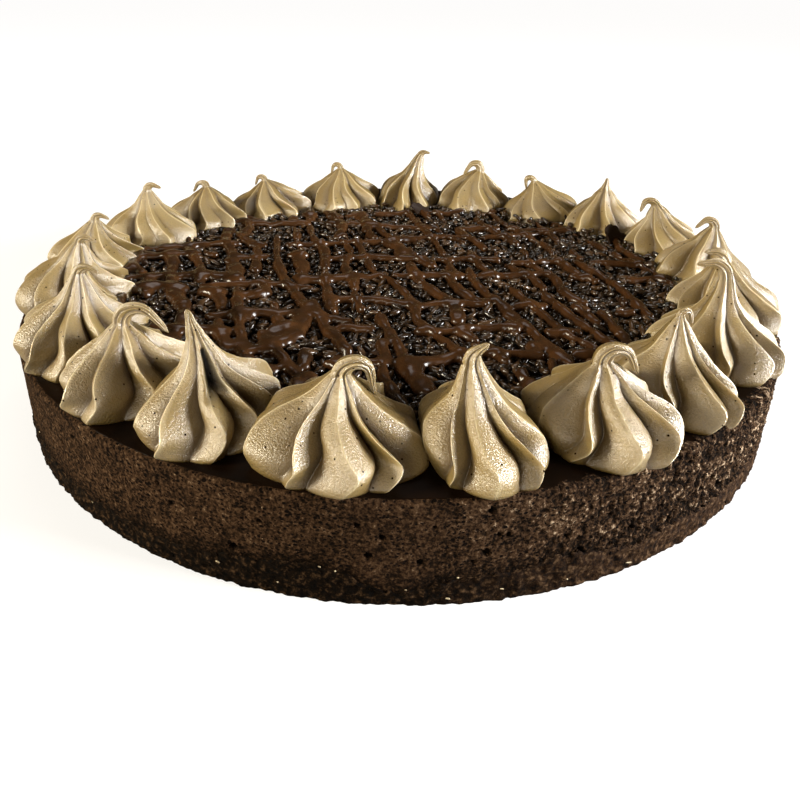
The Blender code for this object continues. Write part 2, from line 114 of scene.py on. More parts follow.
# One row for each rosette, counter-clockwise from the front. Angles in degrees, lengths in mm:
# angle round the cake, angle where the next rosette begins, nearest and farthest reach from the cake's axis,
# height, heading of the tip, lean at the neck, length of the tip, how far the tip curls over
ROSETTES = (
    (263.0, 272.9, 90.0, 132.0, 23.4, 0, 4, 15.5, 165),
    (279.9, 287.0, 91.0, 132.0, 28.7, 0, -4, 7.0, 60),
    (296.6, 303.8, 91.0, 132.5, 23.0, 0, -6, 15, 155),
    (311.0, 319.0, 91.0, 132.0, 25.2, 0, -2, 7, 170),
    (327.4, 335.8, 92.0, 131.0, 29.0, 180, 4, 11, 90),
    (344.4, 352.4, 94.0, 132.5, 22.5, 180, 4, 8, 90),
    (0.8, 9.0, 96.0, 132.0, 24.0, 180, -13, 10, 140),
    (17.5, 24.8, 97.0, 130.0, 22.6, 180, 12, 10, 140),
    (33.8, 41.0, 89.0, 127.0, 25.2, 0, 4, 4.5, 0),
    (50.4, 59.8, 83.0, 123.5, 19.6, 180, 13, 9, 160),
    (69.5, 79.1, 78.0, 121.0, 22.8, 180, -13, 13, 160),
    (88.0, 96.8, 73.0, 118.5, 27.3, 0, 22, 5, 80),
    (107.8, 118.5, 75.0, 119.0, 21.0, 180, 3, 9, 165),
    (128.8, 138.2, 79.0, 121.0, 18.2, 180, 9, 8, 150),
    (146.0, 153.8, 86.0, 125.5, 19.5, 180, 3, 9, 150),
    (161.5, 169.4, 91.0, 129.5, 24.2, 0, 2, 7, 110),
    (177.6, 186.2, 99.0, 132.5, 20.4, 0, 6, 7, 110),
    (194.6, 204.0, 95.0, 132.5, 23.4, 0, 10, 7, 110),
    (213.6, 222.6, 92.0, 132.0, 25.4, 0, 8, 7, 110),
    (229.8, 237.8, 91.0, 131.0, 23.5, 0, 0, 17, 140),
    (244.8, 253.2, 89.0, 130.5, 30.3, 180, 9, 7, 0),
)
# How far a tip stands aside from the middle of its rosette, by row above: to the right and to the back, in mm
TIP_ASIDE = {
    1: (-2.3, 0), 3: (0.8, 2.6), 4: (2.2, 4.5), 5: (-1.3, 4.0), 6: (-1.3, 2.3), 7: (-3.2, 0),
    8: (-1.4, 0), 9: (-3.2, 0), 14: (1.9, 0), 17: (2.4, 0), 18: (-1.2, 1.6), 19: (-1.0, 0.8), 20: (-1.0, 0.5),
}
TIP_ASIDE_BEND = 1.6
# Measured ridges of the front rosettes, by row above: heading in degrees, share of the reach,
# depth of the valley after it, and where that valley lies on the way to the next ridge
RIDGES = {
    0: (
        (200, 1.07, 0.7, 0.8), (240, 0.97, 1.0, 0.28), (273, 1.0, 0.95, 0.72),
        (299, 1.0, 1.0, 0.25), (338, 1.07, 0.35, 0.6), (17, 0.95, 1.0, 0.5),
        (62, 1.0, 1.0, 0.5), (108, 1.0, 1.0, 0.5), (155, 1.0, 0.3, 0.5),
    ),
    1: (
        (195, 1.06, 0.7, 0.78), (236, 0.97, 1.0, 0.3), (274, 1.0, 0.95, 0.74),
        (311, 1.04, 1.0, 0.25), (344, 1.06, 0.4, 0.6), (25, 1.0, 1.0, 0.5),
        (68, 1.0, 1.0, 0.5), (112, 1.0, 1.0, 0.5), (155, 1.0, 0.3, 0.5),
    ),
    2: (
        (188, 1.02, 0.6, 0.8), (234, 0.95, 1.0, 0.3), (274, 1.0, 0.95, 0.7),
        (305, 1.02, 1.0, 0.4), (332, 1.02, 1.0, 0.5), (8, 0.95, 1.0, 0.5),
        (50, 1.0, 1.0, 0.5), (95, 1.0, 1.0, 0.5), (140, 1.0, 0.3, 0.5),
    ),
    3: (
        (195, 1.02, 0.6, 0.8), (240, 0.97, 1.0, 0.3), (277, 1.0, 0.95, 0.7),
        (307, 0.96, 1.0, 0.4), (335, 0.84, 1.0, 0.5), (15, 0.8, 1.0, 0.5),
        (55, 0.9, 1.0, 0.5), (98, 1.0, 1.0, 0.5), (145, 1.0, 0.3, 0.5),
    ),
    4: (
        (205, 1.0, 0.7, 0.75), (250, 1.0, 1.0, 0.35), (290, 1.0, 0.95, 0.65),
        (318, 1.0, 1.0, 0.4), (345, 0.95, 1.0, 0.5), (20, 0.92, 1.0, 0.5),
        (62, 1.0, 1.0, 0.5), (108, 1.0, 1.0, 0.5), (155, 1.0, 0.9, 0.5),
    ),
    18: (
        (200, 0.94, 0.8, 0.5), (236, 1.02, 0.9, 0.4), (268, 1.1, 1.0, 0.6),
        (305, 1.06, 1.0, 0.5), (345, 0.95, 1.0, 0.5), (25, 0.95, 1.0, 0.5),
        (70, 1.0, 1.0, 0.5), (115, 1.0, 1.0, 0.5), (158, 1.0, 0.9, 0.5),
    ),
    19: (
        (186, 0.93, 0.8, 0.55), (221, 0.97, 0.9, 0.6), (257, 1.06, 1.0, 0.6),
        (302, 1.06, 1.0, 0.55), (343, 0.97, 1.0, 0.5), (26, 0.95, 1.0, 0.5),
        (75, 1.0, 1.0, 0.5), (120, 1.0, 1.0, 0.5), (163, 1.0, 0.9, 0.5),
    ),
    20: (
        (196, 0.97, 0.8, 0.78), (243, 1.0, 0.95, 0.62), (286, 1.07, 1.0, 0.45),
        (313, 1.05, 1.0, 0.5), (342, 1.0, 0.9, 0.5), (12, 0.95, 0.9, 0.5),
        (45, 1.0, 1.0, 0.5), (95, 1.0, 1.0, 0.5), (150, 1.0, 0.35, 0.5),
    ),
}
# Rosettes with a slit where two strands came apart, painted near black inside as shade: heading in degrees,
# lowest and highest height in mm
SLITS = {20: (304, 11.5, 21)}
# How thin each of those ridges is: below 1 a plump lobe with a soft crease, above 1 a thin fin
RIDGE_THINNESS = (0.6, 1.15, 0.55, 1.2, 0.7, 0.85, 0.8, 0.9, 0.8)
STAR_LOBES = 9
LOBE_COLUMNS = 16
COLUMNS = STAR_LOBES * LOBE_COLUMNS
BODY_LEVELS = 44
TIP_LEVELS = 24
# Neck: its radius, and the share of it in a valley. Tip: share of its length that curls, and how slim it gets
NECK_RADIUS = 2.35 * MM
NECK_VALLEY = 0.72
CURL_SHARE = 0.6
SLIMMEST_CURL = 0.8
NEIGHBOUR_PRESS = 1.2
# Where two rosettes meet: how softly the wall bends, how deep they overlap, how far the push reaches
PRESS_SOFTNESS = 3.6 * MM
PRESS_OVERLAP = 1.0 * MM
PRESS_REACH = 5 * MM
# Largest twist and sway of the ridges in degrees, and how rough a ridge is from strand to strand
LARGEST_TWIST = 14
LARGEST_SWAY = 5
STRAND_RELIEF = 0.012
SLIT_DEPTH = 0.5
# Strength of the painted highlight along thin ridges
CREST_HIGHLIGHT = 0.95
SWEEP = math.radians(9)
SPINE_STEPS = 40
FULL_HEIGHT = 22
CREAM_FOOT = BODY_HEIGHT - 0.05 * MM
# Size and height in mm of the waves that keep the cream from looking machined
CREAM_WAVES = ((9, 0.42), (3, 0.1))
# Far apart places at which the three directions of a wave are read
WAVE_SHIFTS = ((9.3, -1.5, -7.9), (-43.1, 25.7, 12.2), (34.4, 58.8, -66.6))

# Body of a rosette: height above the glaze in mm, share of the foot's reach at a ridge and in a valley
BODY_OUTLINE = (
    (0.0, 0.93, 0.85), (0.9, 0.98, 0.83), (2.6, 1.015, 0.76), (4.6, 1.02, 0.65), (7.0, 0.975, 0.53),
    (8.5, 0.905, 0.45), (10.0, 0.81, 0.41), (12.0, 0.645, 0.36), (14.0, 0.475, 0.31), (16.0, 0.34, 0.265),
    (18.0, 0.26, 0.205),
)
# Share of the tip's length, share of the neck's radius
TIP_OUTLINE = ((0.0, 1.0), (0.2, 0.87), (0.4, 0.68), (0.6, 0.5), (0.8, 0.38), (0.93, 0.25), (1.0, 0.05))


# ---------------------------------------------------------------- helpers


def linear(hex_colour):
    """sRGB hex to the linear colour that a shader takes."""
    channels = [int(hex_colour[i : i + 2], 16) / 255 for i in (1, 3, 5)]
    curved = [c / 12.92 if c <= 0.04045 else ((c + 0.055) / 1.055) ** 2.4 for c in channels]
    return (*curved, 1.0)


def smoothstep(low, high, value):
    share = np.clip((value - low) / (high - low), 0, 1)
    return share * share * (3 - 2 * share)


def round_about(radius, angle, height=0.0):
    return Vector((radius * math.cos(angle), radius * math.sin(angle), height))


def turn_flat(x, y, angle):
    return x * math.cos(angle) - y * math.sin(angle), x * math.sin(angle) + y * math.cos(angle)


def through(rows, places, column=1):
    """Smooth curve through the rows of a table, read at some places."""
    xs = np.array([row[0] for row in rows])
    ys = np.array([row[column] for row in rows])
    slopes = np.gradient(ys, xs)
    places = np.clip(places, xs[0], xs[-1])
    k = np.clip(np.searchsorted(xs, places, side="right") - 1, 0, len(xs) - 2)
    width = xs[k + 1] - xs[k]
    t = (places - xs[k]) / width
    return (
        (2 * t**3 - 3 * t**2 + 1) * ys[k]
        + (t**3 - 2 * t**2 + t) * width * slopes[k]
        + (3 * t**2 - 2 * t**3) * ys[k + 1]
        + (t**3 - t**2) * width * slopes[k + 1]
    )


def ripple(place, size):
    """A smooth wave from -1 to 1, at a place in metres. The size is in mm."""
    return noise.noise(Vector(place) / (size * MM))


def lumps(place, size):
    """Uneven lumps about as wide as the size in mm, with finer ones on them."""
    return noise.fractal(Vector(place) / (size * MM), 0.9, 2.1, 3)


def wave_vector(place):
    """A smooth wave in three directions."""
    return np.array([noise.noise(place + Vector(shift)) for shift in WAVE_SHIFTS])


def editing(on):
    """Goes into edit mode, or back out of it."""
    bpy.ops.object.mode_set(mode="EDIT" if on else "OBJECT")


def deselect():
    if bpy.context.mode != "OBJECT":
        editing(False)
    bpy.ops.object.select_all(action="DESELECT")


def make_active(obj):
    deselect()
    obj.select_set(True)
    bpy.context.view_layer.objects.active = obj


def apply_modifier(obj, kind, **settings):
    make_active(obj)
    modifier = obj.modifiers.new(kind.lower(), kind)
    for name, value in settings.items():
        setattr(modifier, name, value)
    bpy.ops.object.modifier_apply(modifier=modifier.name)


def coordinates(obj):
    flat = np.empty(len(obj.data.vertices) * 3)
    obj.data.vertices.foreach_get("co", flat)
    return flat.reshape(-1, 3)


def move_points(obj, points):
    obj.data.vertices.foreach_set("co", np.ascontiguousarray(points, dtype=np.float64).ravel())
    obj.data.update()


def paint(obj, name, values):
    """Keeps a number for each vertex, which a material reads."""
    attribute = obj.data.attributes.new(name, "FLOAT", "POINT")
    attribute.data.foreach_set("value", np.asarray(values, dtype=np.float32))


def face_outwards(obj):
    make_active(obj)
    editing(True)
    bpy.ops.mesh.select_all(action="SELECT")
    bpy.ops.mesh.normals_make_consistent(inside=False)
    editing(False)


def add_simple(make, name, turn=(0, 0, 0), centre=(0, 0, 0), **sizes):
    """One of the simple shapes, under its own name, with its place and turn kept in its points."""
    deselect()
    make(location=centre, rotation=turn, **sizes)
    obj = bpy.context.active_object
    obj.name = name
    obj.data.name = name
    bpy.ops.object.transform_apply(location=True, rotation=True, scale=True)
    return obj


def add_mesh(name, points, faces):
    mesh = bpy.data.meshes.new(name)
    mesh.from_pydata(points.tolist(), [], faces)
    mesh.update()
    obj = bpy.data.objects.new(name, mesh)
    bpy.context.scene.collection.objects.link(obj)
    return obj


def select_open_edge():
    """In edit mode, selects the points round every opening of a mesh."""
    bpy.context.tool_settings.mesh_select_mode = (True, False, False)
    bpy.ops.mesh.select_all(action="DESELECT")
    bpy.ops.mesh.select_non_manifold(extend=False, use_wire=False, use_boundary=True, use_multi_face=False,
                                     use_non_contiguous=False, use_verts=False)


def tower(name, columns, levels):
    """A ring of points drawn up level by level, one metre apart, and closed on top. Its foot stays open."""
    obj = add_simple(bpy.ops.mesh.primitive_circle_add, name, vertices=columns, radius=1, fill_type="NOTHING")
    editing(True)
    bpy.ops.mesh.select_all(action="SELECT")
    for _ in range(levels):
        bpy.ops.mesh.extrude_region_move(TRANSFORM_OT_translate={"value": (0, 0, 1)})
    bpy.ops.mesh.merge(type="CENTER")
    select_open_edge()
    return obj


def draws(thing, index=0):
    """Random numbers for one thing, the same in each run."""
    return random.Random(SEEDS[thing] + index)


def finish_piece(obj, material, slot, *replaced):
    obj.data.materials.clear()
    obj.data.materials.append(material)
    obj.data.shade_smooth()
    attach(obj, "root")
    if replaced:
        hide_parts(*replaced)
    return obj


# ---------------------------------------------------------------- materials


def shade(value):
    """A colour from its sRGB hex, or a grey from a number."""
    return linear(value) if isinstance(value, str) else (value, value, value, 1)


def add(tree, kind, inputs=None, **options):
    """Adds a node. Inputs are numbers, hex colours or other nodes' sockets, by the input's name or number."""
    made = tree.nodes.new("ShaderNode" + kind)
    for name, value in options.items():
        setattr(made, name, value)
    for name, value in (inputs or {}).items():
        socket = made.inputs[name]
        if isinstance(value, bpy.types.NodeSocket):
            tree.links.new(value, socket)
        else:
            socket.default_value = shade(value) if isinstance(value, str) else value
    return made


def new_material(name, roughness, gloss, **uniform):
    """A material whose even values are set on the shader itself."""
    material = bpy.data.materials.new(name)
    material.use_nodes = True
    tree = material.node_tree
    tree.nodes.clear()
    shader = add(tree, "BsdfPrincipled", {"Roughness": roughness, "Specular IOR Level": gloss, **uniform})
    tree.links.new(shader.outputs[0], add(tree, "OutputMaterial").inputs[0])
    return material, tree, shader, add(tree, "TexCoord").outputs["Object"]


def feed(tree, shader, sockets):
    """Links sockets to the shader's inputs, by their names."""
    for name, socket in sockets.items():
        tree.links.new(socket, shader.inputs[name])


def ramp(tree, value, *stops):
    """Colours or greys along a value."""
    made = add(tree, "ValToRGB", {"Fac": value})
    elements = made.color_ramp.elements
    for element, (place, colour) in zip(elements, (stops[0], stops[-1])):
        element.position = place
        element.color = shade(colour)
    for place, colour in stops[1:-1]:
        elements.new(place).color = shade(colour)
    return made.outputs["Color"]


def mix(tree, factor, first, second, blend="MIX"):
    return add(tree, "Mix", {0: factor, 6: first, 7: second}, data_type="RGBA", blend_type=blend).outputs[2]


def maths(tree, operation, *values):
    return add(tree, "Math", dict(enumerate(values)), operation=operation).outputs[0]


def painted(tree, name):
    return add(tree, "Attribute", attribute_name=name).outputs["Fac"]


def clouds(tree, place, scale, detail, roughness=0.5):
    inputs = {"Vector": place, "Scale": scale, "Detail": detail, "Roughness": roughness}
    return add(tree, "TexNoise", inputs).outputs["Fac"]


def pits(tree, place, scale, spread_of_widths, least, edge, depth):
    """Round pits of all widths, one to a cell at most: 0 outside them."""
    cells = add(tree, "TexVoronoi", {"Vector": place, "Scale": scale})
    width = maths(tree, "MULTIPLY_ADD", cells.outputs["Color"], spread_of_widths, least)
    return ramp(tree, maths(tree, "SUBTRACT", width, cells.outputs["Distance"]), (0, 0), (edge, depth))


def bump(tree, height, strength, distance, over=None, **options):
    """Relief of some millimetres, over another one if that is given."""
    inputs = {"Height": height, "Strength": strength, "Distance": distance * MM}
    return add(tree, "Bump", inputs | ({"Normal": over} if over else {}), **options).outputs[0]


def whipped_cream():
    """Mocha whipped cream, piped: satin sheen, fine froth grain, air pores painted dark as their shade, a
    painted highlight on its thin edges, painted shade in its valleys and near-black painted shade in its
    slits.
    """
    soft = {"Subsurface Weight": 0.1, "Subsurface Radius": (1.0, 0.6, 0.25), "Subsurface Scale": 0.8 * MM}
    glossy = {"Coat Roughness": 0.21, "Coat IOR": 1.6}
    material, tree, shader, place = new_material("whipped_mocha_cream", 0.42, 1.0, **soft, **glossy)
    # Froth grain of 0.5 mm, as coarse as it needs to be to show
    grain = clouds(tree, place, 1900, 3, 0.65)
    plain = ramp(tree, clouds(tree, place, 60, 3), (0.35, "#88703A"), (0.7, "#9A824B"))
    body = mix(tree, 1.0, plain, ramp(tree, grain, (0.3, 0.72), (0.7, 1.0)), "MULTIPLY")
    # Painted shade: darker down in the valleys
    shaded = mix(tree, painted(tree, "hollow"), body, "#5C4722")
    # Painted highlight along the thin ridges
    crest_lit = mix(tree, painted(tree, "crest_highlight"), shaded, "#E8D6AE")
    # Painted shade: near black inside the slit
    slit_shaded = mix(tree, painted(tree, "gap"), crest_lit, "#120C05")
    # Air pores 0.5 to 0.8 mm wide, in few of the cells of 1.7 mm, painted dark as the shade inside them
    cells = add(tree, "TexVoronoi", {"Vector": place, "Scale": 600})
    chosen = maths(tree, "GREATER_THAN", cells.outputs["Color"], 0.72)
    pore = maths(tree, "MULTIPLY", ramp(tree, cells.outputs["Distance"], (0.13, 1), (0.21, 0)), chosen)
    pitted = bump(tree, pore, 0.15, 0.3, bump(tree, grain, 0.92, 0.32), invert=True)
    gleam = maths(tree, "SUBTRACT", 1.0, pore)
    feed(tree, shader, {"Base Color": mix(tree, pore, slit_shaded, "#1C0D05"), "Normal": pitted,
                        "Coat Normal": pitted, "Coat Weight": gleam, "Specular IOR Level": gleam})
    return material


def set_mousse():
    """Set chocolate mousse, cut by its tin: matt, full of burst bubbles painted near black inside as shade,
    with painted shade in its hollows and holes and a painted highlight where torn crumbs stand out.
    """
    material, tree, shader, place = new_material("set_chocolate_mousse", 0.85, 0.04)
    torn = painted(tree, "torn")
    speckle = clouds(tree, place, 1150, 3, 0.65)
    contrast = maths(tree, "MULTIPLY_ADD", torn, 0.9, 1.3)
    # The painted relief makes the colour darker in hollows and holes, as painted shade, and paler on what
    # stands out, as painted highlight; the speckle is the mousse's own grain
    level = maths(tree, "MULTIPLY_ADD", maths(tree, "ADD", speckle, -0.5), contrast, painted(tree, "relief"))
    body = ramp(tree, level, (0.15, "#080401"), (0.36, "#1C1209"), (0.52, "#342417"), (0.74, "#4E3B2A"),
                (0.96, "#A08B72"))
    # Burst bubbles up to 1 mm wide in cells of 1.3 mm, and pits of about 0.6 mm in cells of 1 mm, flattened,
    # painted near black inside as shade
    flat = add(tree, "Mapping", {"Vector": place, "Scale": (1, 1, 1.4)}).outputs["Vector"]
    bubble = maths(tree, "MAXIMUM", pits(tree, flat, 760, 0.8, -0.24, 0.07, 1),
                   pits(tree, flat, 1000, 0.62, -0.06, 0.14, 0.9))
    foam = bump(tree, bubble, 0.9, 0.5, invert=True)
    grit = bump(tree, speckle, maths(tree, "MULTIPLY_ADD", torn, 0.6, 0.35), 0.5, foam)
    feed(tree, shader, {"Base Color": mix(tree, bubble, body, "#0A0502"), "Normal": grit})
    return material


def pressed_crumb():
    """Cocoa biscuit crumbs pressed with butter: nearly black, with a dull gleam, browner where torn."""
    material, tree, shader, place = new_material("pressed_cocoa_crumb", 0.7, 0.04)
    # Crumbs 1.6 mm wide
    speckle = clouds(tree, place, 620, 5, 0.7)
    dark = ramp(tree, speckle, (0.38, "#020100"), (0.53, "#110903"), (0.7, "#4A3725"))
    brown = ramp(tree, speckle, (0.38, "#0B0502"), (0.53, "#322113"), (0.7, "#6B543D"))
    feed(tree, shader, {"Base Color": mix(tree, painted(tree, "torn"), dark, brown),
                        "Normal": bump(tree, speckle, 0.8, 0.6)})
    return material


def plain_food(name, roughness, gloss, colours, grain, relief=None):
    """An even finish. Colours: share of the grain, then the colour. Relief: strength, then mm."""
    material, tree, shader, place = new_material(name, roughness, gloss)
    cloud = clouds(tree, place, *grain)
    feed(tree, shader, {"Base Color": ramp(tree, cloud, *colours)})
    if relief:
        feed(tree, shader, {"Normal": bump(tree, cloud, *relief)})
    return material


def pale_crumb():
    """Stray biscuit crumbs: pale, dry and matt."""
    colours = ((0.35, "#75634A"), (0.65, "#BFB08F"))
    return plain_food("stray_pale_crumb", 0.8, 0.5, colours, (2500, 2))


def poured_glaze():
    """Poured chocolate glaze: smooth, very dark, with a quiet gleam and sags of 11 mm."""
    colours = ((0.3, "#0A0502"), (0.7, "#180D05"))
    return plain_food("poured_chocolate_glaze", 0.45, 0.03, colours, (90, 2), (0.12, 0.8))


def ganache():
    """Ganache drizzled warm: milk-brown, smooth and half-gloss, set with ripples of 6 mm."""
    colours = ((0.3, "#27170A"), (0.7, "#412813"))
    return plain_food("drizzled_ganache", 0.25, 0.32, colours, (160, 3), (0.3, 0.6))


def tumbled_chocolate(name, dark, light, roughness, gloss):
    """Tumbled chocolate granules: dark with a waxy gleam, each a little different."""
    material, tree, shader, place = new_material(name, roughness, gloss)
    feed(tree, shader, {"Base Color": ramp(tree, painted(tree, "tone"), (0, dark), (1, light)),
                        "Normal": bump(tree, clouds(tree, place, 1400, 3), 0.4, 0.3)})
    return material


# ---------------------------------------------------------------- piped cream


def piped_tube():
    """The tube that every rosette is shaped from, closed at both ends."""
    tube = tower("piped_tube", COLUMNS, BODY_LEVELS + TIP_LEVELS)
    bpy.ops.mesh.extrude_region_move(TRANSFORM_OT_translate={"value": (0, 0, -1)})
    bpy.ops.mesh.merge(type="CENTER")
    editing(False)
    return tube


def tilts(body_length, tip_length, lean, curl):
    """Steps up the middle of a rosette: share (1 to 2 along the tip), length and tilt."""
    for i in range(SPINE_STEPS):
        yield (i + 1) / SPINE_STEPS, body_length / SPINE_STEPS, lean * (i + 0.5) / SPINE_STEPS
    for i in range(SPINE_STEPS):
        share = (i + 0.5) / SPINE_STEPS
        yield 1 + (i + 1) / SPINE_STEPS, tip_length / SPINE_STEPS, lean + curl * min(1, share / CURL_SHARE)


def spine(height, lean, tip_length, curl):
    """Share, sideways place, height and tilt at each step up the middle of a rosette."""

    def follow(body_length):
        path = [(0, 0, 0, 0)]
        for share, step, tilt in tilts(body_length, tip_length, lean, curl):
            _, side, up, _ = path[-1]
            path.append((share, side + step * math.sin(tilt), up + step * math.cos(tilt), tilt))
        return np.array(path)

    body_length = height
    for _ in range(6):
        body_length += height - follow(body_length)[:, 2].max()
    return follow(body_length), body_length


def neck_radius(tip_length, curl):
    """A tip that curls tightly has a slimmer neck, so that it does not fold into itself."""
    if not curl:
        return NECK_RADIUS
    return min(NECK_RADIUS, SLIMMEST_CURL * CURL_SHARE * tip_length / curl)


def star(index):
    """Each ridge of a rosette: heading, reach, depth and place of the valley after it, and how thin it is."""
    if index in RIDGES:
        return [(math.radians(row[0]), *row[1:], thin) for row, thin in zip(RIDGES[index], RIDGE_THINNESS)]
    draw = draws("ridges", index)
    widths = [draw.uniform(0.7, 1.3) for _ in range(STAR_LOBES)]
    heading = draw.uniform(0, math.tau / STAR_LOBES)
    thin = draws("thinness", index)
    ridges = []
    for width in widths:
        ridges.append((heading, draw.uniform(0.93, 1.04), draw.uniform(0.7, 1.1) * thin.choice((0.4, 1, 1)),
                       draw.uniform(0.25, 0.75), thin.uniform(0.5, 1.2)))
        heading += math.tau * width / sum(widths)
    return ridges


def boundary_bulge(index, radius, height):
    """How far the line where two rosettes meet swings aside: each was piped leaning against the last."""
    draw = draws("meeting", index % len(ROSETTES))
    swing, phase, tilt = draw.uniform(0.6, 1.5) * MM, draw.uniform(0, math.tau), draw.uniform(-0.4, -0.16)
    return swing * np.sin(radius / (7 * MM) + phase) + tilt * (height - BODY_HEIGHT - 6 * MM)


def press(points, index, side, inward):
    """Flattens a rosette softly where it meets its neighbour."""
    across = np.array((-math.sin(side), math.cos(side)))
    radius = np.hypot(points[:, 0], points[:, 1])
    bulge = boundary_bulge(index, radius, points[:, 2])
    inside = inward * (points[:, :2] @ across - bulge)
    deep = inside + PRESS_OVERLAP
    wanted = 0.5 * (deep + np.sqrt(deep**2 + PRESS_SOFTNESS**2)) - PRESS_OVERLAP
    near = np.exp(-np.clip(inside, 0, None) / PRESS_REACH)
    points[:, :2] += inward * across * ((wanted - inside) * near)[:, None]
    return points


def slit(index, theta, rise):
    """How deep in the slit of a rosette each point lies, from 0 to 1."""
    if index not in SLITS:
        return np.zeros(len(rise))
    heading, low, high = SLITS[index]
    off = np.abs((theta - math.radians(heading) + math.pi) % math.tau - math.pi)
    along = 1 - ((rise - (low + high) / 2) / ((high - low) / 2)) ** 2
    return (1 - smoothstep(0.12, 0.3, off)) * smoothstep(0, 0.3, along)


def shape_rosette(index, columns, levels):
    """Where each point of the tube goes, and how near it is to a ridge and to the bottom of a valley."""
    angle, after, near, far, height, heading, lean, tip_length, curl = ROSETTES[index]
    before = ROSETTES[index - 1][1]
    angle, after, before, heading = (math.radians(v) for v in (angle, after, before, heading))
    lean, curl, tip_length = math.radians(lean), math.radians(curl), tip_length * MM
    half_width = ((after - before) % math.tau) / 2
    twist = math.radians(draws("twist", index).uniform(-LARGEST_TWIST, LARGEST_TWIST))
    path, body_length = spine(height * MM, lean, tip_length, curl)
    radius, out_reach = (far + near) / 2 * MM, (far - near) / 2 * MM
    side_reach = radius * math.sin(half_width) * NEIGHBOUR_PRESS
    neck = neck_radius(tip_length, curl)

    # Share up the body, then 1 to 2 up the tip
    body = levels < BODY_LEVELS
    share = np.where(body, levels / (BODY_LEVELS - 1), 1 + (levels - BODY_LEVELS + 1) / TIP_LEVELS)
    lift = np.minimum(share, 1)
    squat = min(1, height / FULL_HEIGHT)
    rise = lift * body_length / MM / squat

    # Place round the star: u runs from one ridge to the next, by way of the valley
    draw = draws("sway", index)
    ridges = star(index)
    lobe = columns // LOBE_COLUMNS
    following = (lobe + 1) % STAR_LOBES
    starts, reaches, depths, valleys, thins = (np.array([ridge[k] for ridge in ridges]) for k in range(5))
    widths = (np.roll(starts, -1) - starts) % math.tau
    step = (columns % LOBE_COLUMNS) / (LOBE_COLUMNS / 2)
    eased = 0.5 - 0.5 * np.cos(math.pi * np.where(step <= 1, step, step - 1))
    valley = valleys[lobe]
    u = np.where(step <= 1, valley * eased, valley + (1 - valley) * eased)
    t = np.where(step <= 1, 1 - eased, eased)
    sways = np.array([math.radians(draw.uniform(-LARGEST_SWAY, LARGEST_SWAY)) for _ in range(STAR_LOBES)])
    sway = (sways[lobe] * (1 - u) + sways[following] * u) * np.sin(math.pi * lift)
    sweep = SWEEP * (np.exp(-((rise - 6) / 3.5) ** 2) - 0.6 * smoothstep(9, 15, rise))
    theta = starts[lobe] + widths[lobe] * u + sway + twist * share + sweep
    extent = reaches[lobe] * (1 - u) + reaches[following] * u
    thin = np.where(step <= 1, thins[lobe], thins[following])
    # Ridges are plain at the foot and at the neck, and thin or plump between them
    low = 1 - smoothstep(0, 4, rise)
    high = smoothstep(11, 17, rise)
    crown = t ** ((thin * (1 - low) + 0.75 * low) * (1 - high) + 1.1 * high)

    # How far out each point lies, as a share of the reach
    full_length = body_length / MM / squat
    rows = [row for row in BODY_OUTLINE if row[0] < full_length - 2.5]
    rows.append((full_length, neck / out_reach, neck * NECK_VALLEY / out_reach))
    ridge_out = through(rows, rise, 1)
    valley_out = ridge_out - (ridge_out - through(rows, rise, 2)) * depths[lobe]
    rho = (valley_out + (ridge_out - valley_out) * crown) * (1 + (extent - 1) * (1 - high))
    gap = slit(index, theta, rise)
    rho *= 1 - SLIT_DEPTH * gap
    strands = np.array([draw.uniform(-1, 1) for _ in range(COLUMNS)])
    rho *= 1 + STRAND_RELIEF * strands[columns] * smoothstep(6, 14, rise)
    slim = through(TIP_OUTLINE, np.clip(share - 1, 0, 1))
    rounding = 1 + (side_reach / out_reach - 1) * (1 - smoothstep(0.4, 1, lift))
    out = rho * np.cos(theta - angle) * out_reach * slim
    side = rho * np.sin(theta - angle) * out_reach * rounding * slim
    x, y = turn_flat(out, side, angle)

    # Bent along the middle line
    sideways, up, tilt = (np.interp(share, path[:, 0], path[:, k]) for k in (1, 2, 3))
    along, across = turn_flat(x, y, -heading)
    x, y = turn_flat(sideways + along * np.cos(tilt), across, heading)
    z = up - along * np.sin(tilt)
    aside = TIP_ASIDE.get(index, (0, 0))
    bend = np.clip(z / (height * MM), 0, None) ** TIP_ASIDE_BEND * MM
    x += aside[0] * bend
    y += aside[1] * bend
    points = np.stack((radius * math.cos(angle) + x, radius * math.sin(angle) + y, CREAM_FOOT + z), 1)
    points[:, 2] = np.maximum(points[:, 2], CREAM_FOOT)

    low = points[:, 2] < BODY_HEIGHT + 0.8 * height * MM
    pressed = press(points.copy(), index, after, -1)
    pressed = press(pressed, index - 1, before, 1)
    points[low] = pressed[low]
    # Painted highlight along thin ridges, and painted shade down in the valleys
    crest_highlight = CREST_HIGHLIGHT * smoothstep(0.94, 1.0, t) * smoothstep(0.6, 1.1, thin + 0.3)
    crest_highlight *= smoothstep(0.5, 3, rise)
    hollow = (1 - smoothstep(0.0, 0.6, t)) * np.clip(depths[lobe], 0.4, 1)
    return points, crest_highlight, hollow, gap


